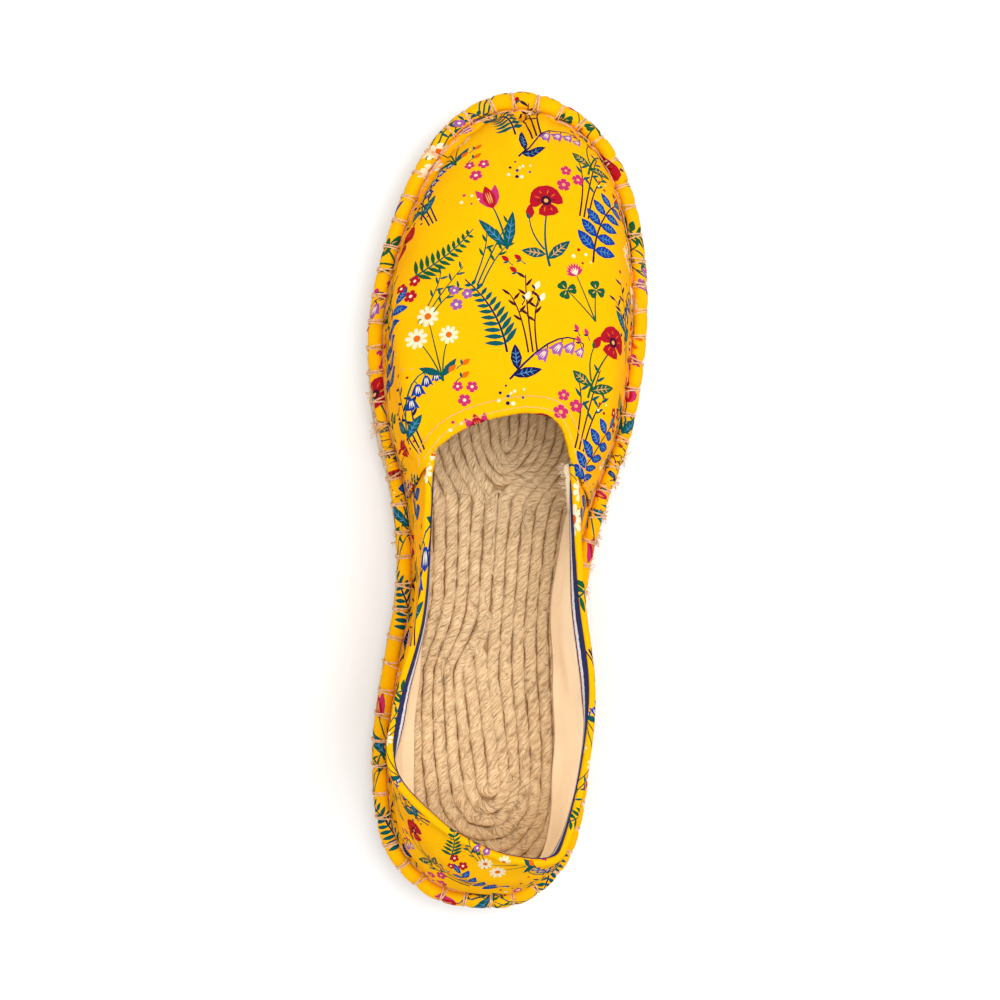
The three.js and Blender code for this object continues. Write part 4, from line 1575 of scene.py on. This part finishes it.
def print_panel(name, panel, lift_of, turned):
    """A printed cloth panel: its print cut into the cloth on the flat pattern, then laid on the shoe."""
    rim = anticlockwise(panel.outline(RIM_STEP))
    low, high = rim.min(0) - 1, rim.max(0) + 1
    if turned:
        shapes = [(tint, points[:, ::-1]) for tint, points in print_shapes(low[::-1], high[::-1])]
    else:
        shapes = print_shapes(low, high)
    shapes = [(tint, anticlockwise(points)) for tint, points in shapes]
    flat, cells, top = cut_print(panel, rim, low, high, shapes)
    turn, share, _ = panel.locate(flat)
    at = laid(turn, share, lift_of(flat, turn, share), panel.lip) * MM
    if turned:
        cells = cells[:, ::-1]
    mesh = bpy.data.meshes.new(name)
    mesh.from_pydata(at.tolist(), [], cells.tolist())
    tints = np.array([colour("cotton")] + [(*PRINT_COLOURS[tint], 1.0) for tint, _ in shapes])
    ink = mesh.color_attributes.new("print", "FLOAT_COLOR", "CORNER")
    ink.data.foreach_set("color", np.repeat(tints[top], 3, axis=0).ravel())
    pattern = mesh.uv_layers.new(name="cloth")
    pattern.data.foreach_set("uv", (flat[cells.ravel()] / UV_UNIT).ravel())
    piece = new_object(name, mesh)
    make_active(piece)
    bpy.ops.object.shade_smooth()
    apply_solidify(piece, mm("cloth_thickness"), -1)
    return settle(piece, finish_of(printed_cotton))


# Puckers above the blanket stitches
GATHER_REACH = 2.2
GATHER_DEPTH = 0.9
GATHER_RISE = 0.09
# Ramp of the throat fold, dip of the quarter under the vamp, and its bead below the edge
FOLD_RAMP = 0.45
SEAM_DIP = 0.25
SEAM_OVERLAP = 0.3
BEAD_ENDS = (0.8, 2.0)
BEAD_CREASE_AT = 2.7
BEAD_CREASE_REACH = 0.8


def gathers(turn, share):
    """Small puckers that run up the wall from the blanket stitches."""
    fade = np.exp(-np.clip(share, 0, 1) / GATHER_RISE)
    return -GATHER_DEPTH * pinch(turn, GATHER_REACH) * fade * smooth_step(share, -0.3, 0.0)


def vamp_panel():
    return Panel(OUTER_SEAM, ROWS_ROUND + INNER_SEAM, VAMP_LIP, vamp_flat)


def quarter_panel():
    return Panel(INNER_SEAM - SEAM_OVERLAP, OUTER_SEAM + SEAM_OVERLAP, QUARTER_LIP, quarter_flat)


def vamp_lift(flat, turn, share):
    """Layers and folds of the vamp."""
    width = mm("fold_width")
    band = 1 - smooth_step(below_edge(turn, share), width - FOLD_RAMP, width + FOLD_RAMP)
    wall_only = smooth_step(share, -0.1, 0.06)
    folds = fold_relief(flat, VAMP_FOLDS) * wall_only * (1 - band)
    return VAMP_LAYER * wall_only + THROAT_FOLD * band + gathers(turn, share) + folds


def quarter_lift(flat, turn, share):
    """Folds of the quarter, which dips under the vamp at each side seam."""
    wall_only = smooth_step(share, 0.0, 0.1) * (1 - smooth_step(share, 0.9, 1.0))
    under = -SEAM_DIP * on_vamp(turn)
    below = below_edge(turn, share)
    bead = QUARTER_BEAD * (1 - smooth_step(below, *BEAD_ENDS))
    bead = bead - BEAD_CREASE * np.exp(-((below - BEAD_CREASE_AT) / BEAD_CREASE_REACH) ** 2)
    return under + bead + gathers(turn, share) + fold_relief(flat, QUARTER_FOLDS) * wall_only


class ESPADRILLE_OT_vamp(bpy.types.Operator):
    """Printed vamp with its hem, folded throat and soft folds"""

    bl_idname = "espadrille.vamp"
    bl_label = "Vamp"

    def execute(self, context):
        piece = print_panel("vamp", vamp_panel(), vamp_lift, False)
        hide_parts("upper")
        return {"FINISHED"}


class ESPADRILLE_OT_quarter(bpy.types.Operator):
    """Printed quarter round the heel, with its hem and turned collar edge"""

    bl_idname = "espadrille.quarter"
    bl_label = "Quarter"

    def execute(self, context):
        print_panel("quarter", quarter_panel(), quarter_lift, True)
        return {"FINISHED"}


# Room between the lip and the tape, its margin at the seams in turns, and its points along and across
TAPE_GAP = 0.12
TAPE_MARGIN = 0.05
TAPE_POINTS = 241
LIP_PARTS = np.linspace(0, 1, 5)
DROP_PARTS = np.linspace(0.15, 1, 7)


class ESPADRILLE_OT_collar_tape(bpy.types.Operator):
    """Striped tape along the inside of the collar"""

    bl_idname = "espadrille.collar_tape"
    bl_label = "Collar tape"

    def execute(self, context):
        turn = np.linspace(INNER_SEAM + TAPE_MARGIN, OUTER_SEAM - TAPE_MARGIN, TAPE_POINTS)
        edge, normal, climb = cloth(turn, 1.0), cloth_normal(turn, 1.0), edge_climb(turn)
        radius = QUARTER_LIP + TAPE_GAP
        middle = QUARTER_BEAD - QUARTER_LIP
        start, lean = tape_lay(turn)
        rows = []
        for part in LIP_PARTS:
            angle = (start + (np.pi - lean - start) * part)[:, None]
            rows.append(edge + normal * (radius * np.cos(angle) + middle) + climb * radius * np.sin(angle))
        down = -normal * np.sin(lean)[:, None] - climb * np.cos(lean)[:, None]
        leave = rows[-1]
        for part in DROP_PARTS:
            rows.append(leave + down * mm("tape_width") * part)
        points = np.stack(rows, axis=1)
        across = run_lengths(points, axis=1)
        uv = np.stack(np.broadcast_arrays(walked(turn)[:, None] / UV_UNIT, across / TAPE_UNIT), -1)
        piece = shape_grid("collar_tape_stripes", points, uv, shell=False)
        apply_solidify(piece, THIN_SHEET, 0)
        settle(piece, finish_of(striped_tape))
        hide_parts("collar_tape")
        return {"FINISHED"}


# Pair of threads over the hem: lean along the outline, gap, spread and stray of each one
STITCH_LEAN = 0.8
STITCH_GAP = (0.34, 0.5)
STITCH_SPREAD = (0.1, 1.3)
STITCH_STRAY = 0.25
# One thread: parts of the way over the roll, its lift there in radii, the part about which it leans,
# and its foot on the side of the sole as inset and height
OVER_PARTS = np.array([0.02, 0.1, 0.2, 0.34, 0.5, 0.66, 0.8, 0.9, 0.97, 1.0])
OVER_LIFT = np.array([0.9, 1.0, 1.0, 1.0, 1.0, 1.0, 0.9, 0.5, -0.4, -1.6])
OVER_PIVOT = 0.3
OVER_FOOT = np.array([(1.9, 12.4), (0.7, 13.2), (0.05, 14.6), (-0.05, 16.2)])
# Knot in the side of the sole: steps along the outline, then inset and height
KNOT_STEPS = (-0.9, -0.7, 0.0, 0.7, 0.9)
KNOT_POINTS = np.array([(1.0, 13.4), (0.2, 13.5), (-0.25, 14.1), (-0.1, 14.8), (0.4, 14.5)])
KNOT_DROP = 0.3
# Thread along the crease: its radius as a part of the stitches' own, its points and gap at each stitch,
# its share of the hem, how far it drifts up the ledge, and how far it lies above the cloth
CREASE_THREAD = 0.66
CREASE_POINTS = 9
CREASE_GAP = 0.2
CREASE_SHARE = -0.95
CREASE_DRIFT = 0.08
CREASE_TOE_DRIFT = 0.5
CREASE_TOE_AT = (2.6, 0.0)
CREASE_LIFT = 0.2
# Its second strand beside the first, what that strand loses of the drift, and the bow of both
STRAND_SHIFT = 0.05
STRAND_TAUT = 0.8
STRAND_BOW = 0.08


def hem_section(turn, along, points):
    """Points of one stitch across the hem: inset and height, shifted along the outline."""
    return raised(inside_rim(turn_at(walked(turn) + along), points[:, 0]), points[:, 1])


class ESPADRILLE_OT_hem_stitches(bpy.types.Operator):
    """Blanket stitches in pairs of threads over the hem, the thread along its crease and the knots below"""

    bl_idname = "espadrille.hem_stitches"
    bl_label = "Hem stitches"

    def execute(self, context):
        rng = np.random.default_rng(SEED)
        places, _ = stitch_row()
        radius = mm("thread_radius")
        runs = []
        crease_runs = []
        for place, following in zip(places, np.append(places[1:], places[0] + LAP)):
            turn = turn_at(place)
            lean = rng.uniform(-STITCH_LEAN, STITCH_LEAN)
            gap = rng.uniform(*STITCH_GAP)
            spread = rng.uniform(*STITCH_SPREAD)
            for side in (-1, 1):
                slant = lean + side * spread + rng.uniform(-STITCH_STRAY, STITCH_STRAY)
                runs.append(self.over(turn, gap * side, slant, radius))
            runs.append(self.knot(turn, rng))
            for strand in range(2):
                crease_runs.append(self.along_crease(place, following, strand, rng))
        crease = thread_runs("crease_thread", crease_runs, CREASE_THREAD * radius)
        piece = join([thread_runs("hem_stitches", runs, radius), crease], "hem_stitches")
        settle(piece, finish_of(stitch_thread))
        return {"FINISHED"}

    def over(self, turn, side, lean, radius):
        """One thread from the sole's edge over the hem to the crease."""
        at = turn_at(walked(turn) + (side + lean * (OVER_PARTS - OVER_PIVOT)))
        share = OVER_PARTS - 2
        top = cloth(at, share) + cloth_normal(at, share) * (OVER_LIFT * radius)[:, None]
        return np.concatenate([hem_section(turn, side - OVER_PIVOT * lean, OVER_FOOT), top])

    def knot(self, turn, rng):
        """Small loop where the pair goes into the sole."""
        low = KNOT_POINTS + (0.0, rng.uniform(-KNOT_DROP, KNOT_DROP))
        return np.concatenate([hem_section(turn, step, low[j:j + 1]) for j, step in enumerate(KNOT_STEPS)])

    def along_crease(self, start, stop, strand, rng):
        """Thread that lies in the crease from one stitch to the next, one strand slack over the other."""
        turn = turn_at(np.linspace(start + CREASE_GAP, stop - CREASE_GAP, CREASE_POINTS))
        along = np.linspace(0, 1, CREASE_POINTS)
        bow = np.sin(np.pi * along)
        inner_end = along if turn_at(start) > HALF_ROUND else 1 - along
        drift = CREASE_DRIFT + CREASE_TOE_DRIFT * toe_part(turn, *CREASE_TOE_AT)
        share = CREASE_SHARE + STRAND_SHIFT * strand + drift * inner_end * (1 - STRAND_TAUT * strand)
        share = share + STRAND_BOW * bow * rng.uniform(-1, 1.6)
        lift = CREASE_LIFT + CREASE_LIFT * bow * rng.uniform(0.3, 1.2)
        return cloth(turn, share) + np.array([0, 0, 1]) * lift[:, None]


# Topstitching: thread, zigzag rows below the throat edge with their swing and rise, stitch by stitch
TOPSTITCH_RADIUS = 0.1
ZIGZAG_ROWS = (1.0, 4.3)
ZIGZAG_COUNT = 74
ZIGZAG_MARGIN = 0.12
ZIGZAG_SWING = np.array([0.16, 0.0, -0.16, 0.0])
ZIGZAG_RISE = np.array([-0.1, 0.13])
# Rows beside a side seam in millimetres, millimetres to a turn there, and their stitches up the wall
SEAM_ROWS = (1.2, 3.4)
SEAM_TURN = 27.0
SEAM_STARTS = np.arange(0.06, 0.9, 0.105)
SEAM_STITCH = 0.082
SEAM_RISE = np.array([-0.15, 0.1, 0.14, 0.1, -0.15])


class ESPADRILLE_OT_topstitching(bpy.types.Operator):
    """Zigzag rows on the throat band and double rows at the side seams"""

    bl_idname = "espadrille.topstitching"
    bl_label = "Topstitching"

    def execute(self, context):
        panel = vamp_panel()
        runs = [self.zigzag(panel, below) for below in ZIGZAG_ROWS]
        for seam, side in ((OUTER_SEAM, 1), (ROWS_ROUND + INNER_SEAM, -1)):
            for inset in SEAM_ROWS:
                runs += self.seam_row(seam + side * inset / SEAM_TURN)
        piece = thread_runs("topstitching", runs, TOPSTITCH_RADIUS)
        settle(piece, finish_of(stitch_thread))
        return {"FINISHED"}

    def zigzag(self, panel, below):
        """One row of zigzag stitches along the throat."""
        step = np.arange(2 * ZIGZAG_COUNT + 1)
        first, last = OUTER_SEAM + ZIGZAG_MARGIN, ROWS_ROUND + INNER_SEAM - ZIGZAG_MARGIN
        turn = np.linspace(first, last, len(step))
        share = panel.share_at(turn, below + ZIGZAG_SWING[step % 4])
        lift = VAMP_LAYER + THROAT_FOLD + ZIGZAG_RISE[step % 2]
        return laid(turn, share, lift, panel.lip)

    def seam_row(self, turn):
        """Stitches of one row up a side seam."""
        shares = [np.linspace(start, start + SEAM_STITCH, len(SEAM_RISE)) for start in SEAM_STARTS]
        return [laid(turn, share, VAMP_LAYER + SEAM_RISE, VAMP_LIP) for share in shares]


# Hairs of the footbed: how many, where across the coil, how long, how bent, how thick and how high,
# then the height of the longer loops
HAIRS = 340
HAIR_SHARES = (0.35, 1.0)
HAIR_LENGTHS = (2.0, 6.0)
HAIR_BEND = 1.2
HAIR_RADIUS = 0.07
HAIR_BASE = 0.1
HAIR_BOWS = (0.2, 1.0)
LOOP_BASE = 0.25
LOOP_BOW = 0.3
# Frayed threads of the hem: radius, start inside the outline, height, lean to the sides, length and curl
TUFT_RADIUS = 0.12
TUFT_INSET = 1.8
TUFT_HEIGHT = 18.6
TUFT_FALL = 2.2
TUFT_LEAN = 1.6
TUFT_SPREAD = 1.4
TUFT_LENGTHS = (1.0, 3.4)
TUFT_CURL = 1.2
# Frayed places of the hem: turn and number of threads
TUFTS = [
    (5.28, 18), (5.6, 24), (6.02, 44), (6.34, 24), (6.66, 16), (6.95, 10), (17.5, 8), (18.9, 10),
    (19.3, 8),
]
# Longer loose fibres of the footbed: x, y, length and how far each one bends round
LOOSE_LOOPS = [
    (-10, -42, 15, 2.6), (-16, -50, 11, -2.8), (4, -36, 12, 3.4), (-14, -70, 9, 4.4),
    (8, -86, 12, -2.2), (-6, -18, 10, 2.0), (12, -60, 8, 3.6), (0, -100, 9, 1.4),
    (-9, -44, 9, -3.8), (2, 10, 10, 2.8),
]


def bent_plan(start, headings, reach):
    """Plan points of a fibre that goes on in even steps along its headings."""
    steps = np.stack([np.cos(headings), np.sin(headings)], 1)
    return start + np.cumsum(steps, axis=0) * reach / len(headings)


class ESPADRILLE_OT_loose_fibres(bpy.types.Operator):
    """Loose jute hairs on the footbed and the frayed tufts of the hem"""

    bl_idname = "espadrille.loose_fibres"
    bl_label = "Loose fibres"

    def execute(self, context):
        rng = np.random.default_rng(SEED)
        runs = []
        for _ in range(HAIRS):
            turn = rng.uniform(0, ROWS_ROUND)
            start, _ = round_turn(np.array([turn]), rng.uniform(*HAIR_SHARES))
            runs.append(self.hair(start[0], rng))
        for x, y, reach, curve in LOOSE_LOOPS:
            runs.append(self.loop(np.array([x, y]), reach, curve))
        hairs = thread_runs("jute_hairs", runs, HAIR_RADIUS, 0)
        settle(hairs, finish_of(jute_rope, "jute_rope", colour("jute")))
        threads = [run for turn, count in TUFTS for run in self.tuft(turn, count, rng)]
        tuft = thread_runs("seam_tuft", threads, TUFT_RADIUS, 0)
        settle(tuft, finish_of(stitch_thread))
        return {"FINISHED"}

    def hair(self, start, rng):
        """Short fibre that bows up from a strand."""
        angle = rng.uniform(0, 2 * np.pi)
        reach = rng.uniform(*HAIR_LENGTHS)
        t = np.linspace(0, 1, 6)
        plan = bent_plan(start, angle + rng.uniform(-HAIR_BEND, HAIR_BEND) * t, reach)
        return raised(plan, SOLE_TOP + HAIR_BASE + rng.uniform(*HAIR_BOWS) * np.sin(np.pi * t))

    def loop(self, start, reach, curve):
        """Longer fibre that lies bent over the strands."""
        t = np.linspace(0, 1, 12)
        height = SOLE_TOP + LOOP_BASE + LOOP_BOW * np.sin(np.pi * t)
        return raised(bent_plan(start, curve * t, reach), height)

    def tuft(self, turn, count, rng):
        """Short curled threads that stand out of the hem."""
        root, out = foot(turn), outward(turn)
        side = left_of(out)
        t = np.linspace(0, 1, 9)
        runs = []
        for _ in range(count):
            lean = rng.uniform(-TUFT_LEAN, TUFT_LEAN)
            reach = rng.uniform(*TUFT_LENGTHS)
            curl = rng.uniform(-TUFT_CURL, TUFT_CURL) * np.sin(rng.uniform(2, 5) * t)
            plan = root - TUFT_INSET * out + np.outer(t, reach * out)
            plan = plan + np.outer(lean * t + curl * t, TUFT_SPREAD * side)
            runs.append(raised(plan, TUFT_HEIGHT + rng.uniform(-0.6, 1.4) - TUFT_FALL * t**2))
        return runs


# Stage, in metres. Lamps: name, place, target, size and power
FLOOR_SIZE = 6
SKY_STRENGTH = 0.47
STUDIO_LAMPS = (
    ("key", (0.8, 0.3, 1.2), (0, 0, 0.02), 0.9, 4),
    ("top", (0.05, 0.1, 1.6), (0, 0, 0.02), 1.3, 20.5),
    ("side", (-1.1, -0.1, 0.4), (0, -0.02, 0.02), 0.8, 1.5),
)
# Lamps for the inside of the quarter alone, as light that comes through the thin cloth
LINING_LAMPS = (
    ("lining_fill", (-0.75, -0.05, 0.62), (0.02, -0.05, 0.045), 0.4, 2.4),
    ("heel_fill", (-0.2, 0.5, 0.6), (0.015, -0.1, 0.045), 0.4, 2.7),
)
# Camera: place, point that it looks at, direction that is up in the picture, and lens in millimetres
CAMERA_PLACE = (-0.0455, 0.0019, 0.667)
CAMERA_TARGET = (0, 0, 0.025)
CAMERA_UP = (-0.054, 0.9985, 0)
CAMERA_LENS = 50
CAMERA_SENSOR = 24
CAMERA_REACH = 20


class ESPADRILLE_OT_stage(bpy.types.Operator):
    """Pale floor, soft studio light and the camera above the shoe"""

    bl_idname = "espadrille.stage"
    bl_label = "Stage"

    def execute(self, context):
        self.floor()
        self.lights(context.scene)
        self.camera(context.scene)
        return {"FINISHED"}

    def floor(self):
        deselect_all()
        bpy.ops.mesh.primitive_grid_add(x_subdivisions=8, y_subdivisions=8, size=FLOOR_SIZE)
        floor = bpy.context.object
        floor.name = "floor"
        floor.data.materials.append(finish_of(pale_floor))

    def lights(self, scene):
        world = scene.world or bpy.data.worlds.new("studio")
        scene.world = world
        world.use_nodes = True
        sky = world.node_tree.nodes["Background"]
        sky.inputs["Color"].default_value = WHITE
        sky.inputs["Strength"].default_value = SKY_STRENGTH
        scene.view_settings.view_transform = "Standard"
        for lamp in STUDIO_LAMPS:
            self.panel_light(*lamp)
        inside = bpy.data.collections.new("inside")
        inside.objects.link(bpy.data.objects["lining"])
        for lamp in LINING_LAMPS:
            self.panel_light(*lamp).light_linking.receiver_collection = inside

    def panel_light(self, name, place, target, size, power):
        """Round soft lamp that faces a point."""
        light = bpy.data.lights.new(name, "AREA")
        light.shape = "DISK"
        light.size = size
        light.energy = power
        lamp = new_object(name, light)
        lamp.location = place
        lamp.rotation_euler = (Vector(target) - Vector(place)).to_track_quat("-Z", "Y").to_euler()
        return lamp

    def camera(self, scene):
        lens = bpy.data.cameras.new("camera")
        lens.lens = CAMERA_LENS
        lens.sensor_width = CAMERA_SENSOR
        lens.clip_end = CAMERA_REACH
        camera = new_object("camera", lens)
        place = Vector(CAMERA_PLACE)
        back = (place - Vector(CAMERA_TARGET)).normalized()
        right = Vector(CAMERA_UP).cross(back).normalized()
        up = back.cross(right)
        camera.matrix_world = Matrix.Translation(place) @ Matrix((right, up, back)).transposed().to_4x4()
        scene.camera = camera


STEPS = (
    ESPADRILLE_OT_sole,
    ESPADRILLE_OT_lining,
    ESPADRILLE_OT_collar_tape,
    ESPADRILLE_OT_quarter,
    ESPADRILLE_OT_vamp,
    ESPADRILLE_OT_hem_stitches,
    ESPADRILLE_OT_topstitching,
    ESPADRILLE_OT_loose_fibres,
    ESPADRILLE_OT_stage,
)


class ESPADRILLE_PT_build(bpy.types.Panel):
    """Sizes, colours and steps of the espadrille"""

    bl_idname = "ESPADRILLE_PT_build"
    bl_label = "Espadrille"
    bl_space_type = "VIEW_3D"
    bl_region_type = "UI"
    bl_category = "Espadrille"

    def draw(self, context):
        for group in (context.scene.espadrille_sizes, context.scene.espadrille_colours):
            for name in group.bl_rna.properties.keys():
                if name not in ("rna_type", "name"):
                    self.layout.prop(group, name)
        for step in STEPS:
            self.layout.operator(step.bl_idname)


CLASSES = (EspadrilleSizes, EspadrilleColours, *STEPS, ESPADRILLE_PT_build)


def register():
    for cls in CLASSES:
        bpy.utils.register_class(cls)
    bpy.types.Scene.espadrille_sizes = bpy.props.PointerProperty(type=EspadrilleSizes)
    bpy.types.Scene.espadrille_colours = bpy.props.PointerProperty(type=EspadrilleColours)


def unregister():
    del bpy.types.Scene.espadrille_colours
    del bpy.types.Scene.espadrille_sizes
    for cls in reversed(CLASSES):
        bpy.utils.unregister_class(cls)


def main():
    register()
    bpy.ops.espadrille.sole()
    bpy.ops.espadrille.lining()
    bpy.ops.espadrille.collar_tape()
    bpy.ops.espadrille.quarter()
    bpy.ops.espadrille.vamp()
    bpy.ops.espadrille.hem_stitches()
    bpy.ops.espadrille.topstitching()
    bpy.ops.espadrille.loose_fibres()
    bpy.ops.espadrille.stage()


if __name__ == "__main__":
    main()
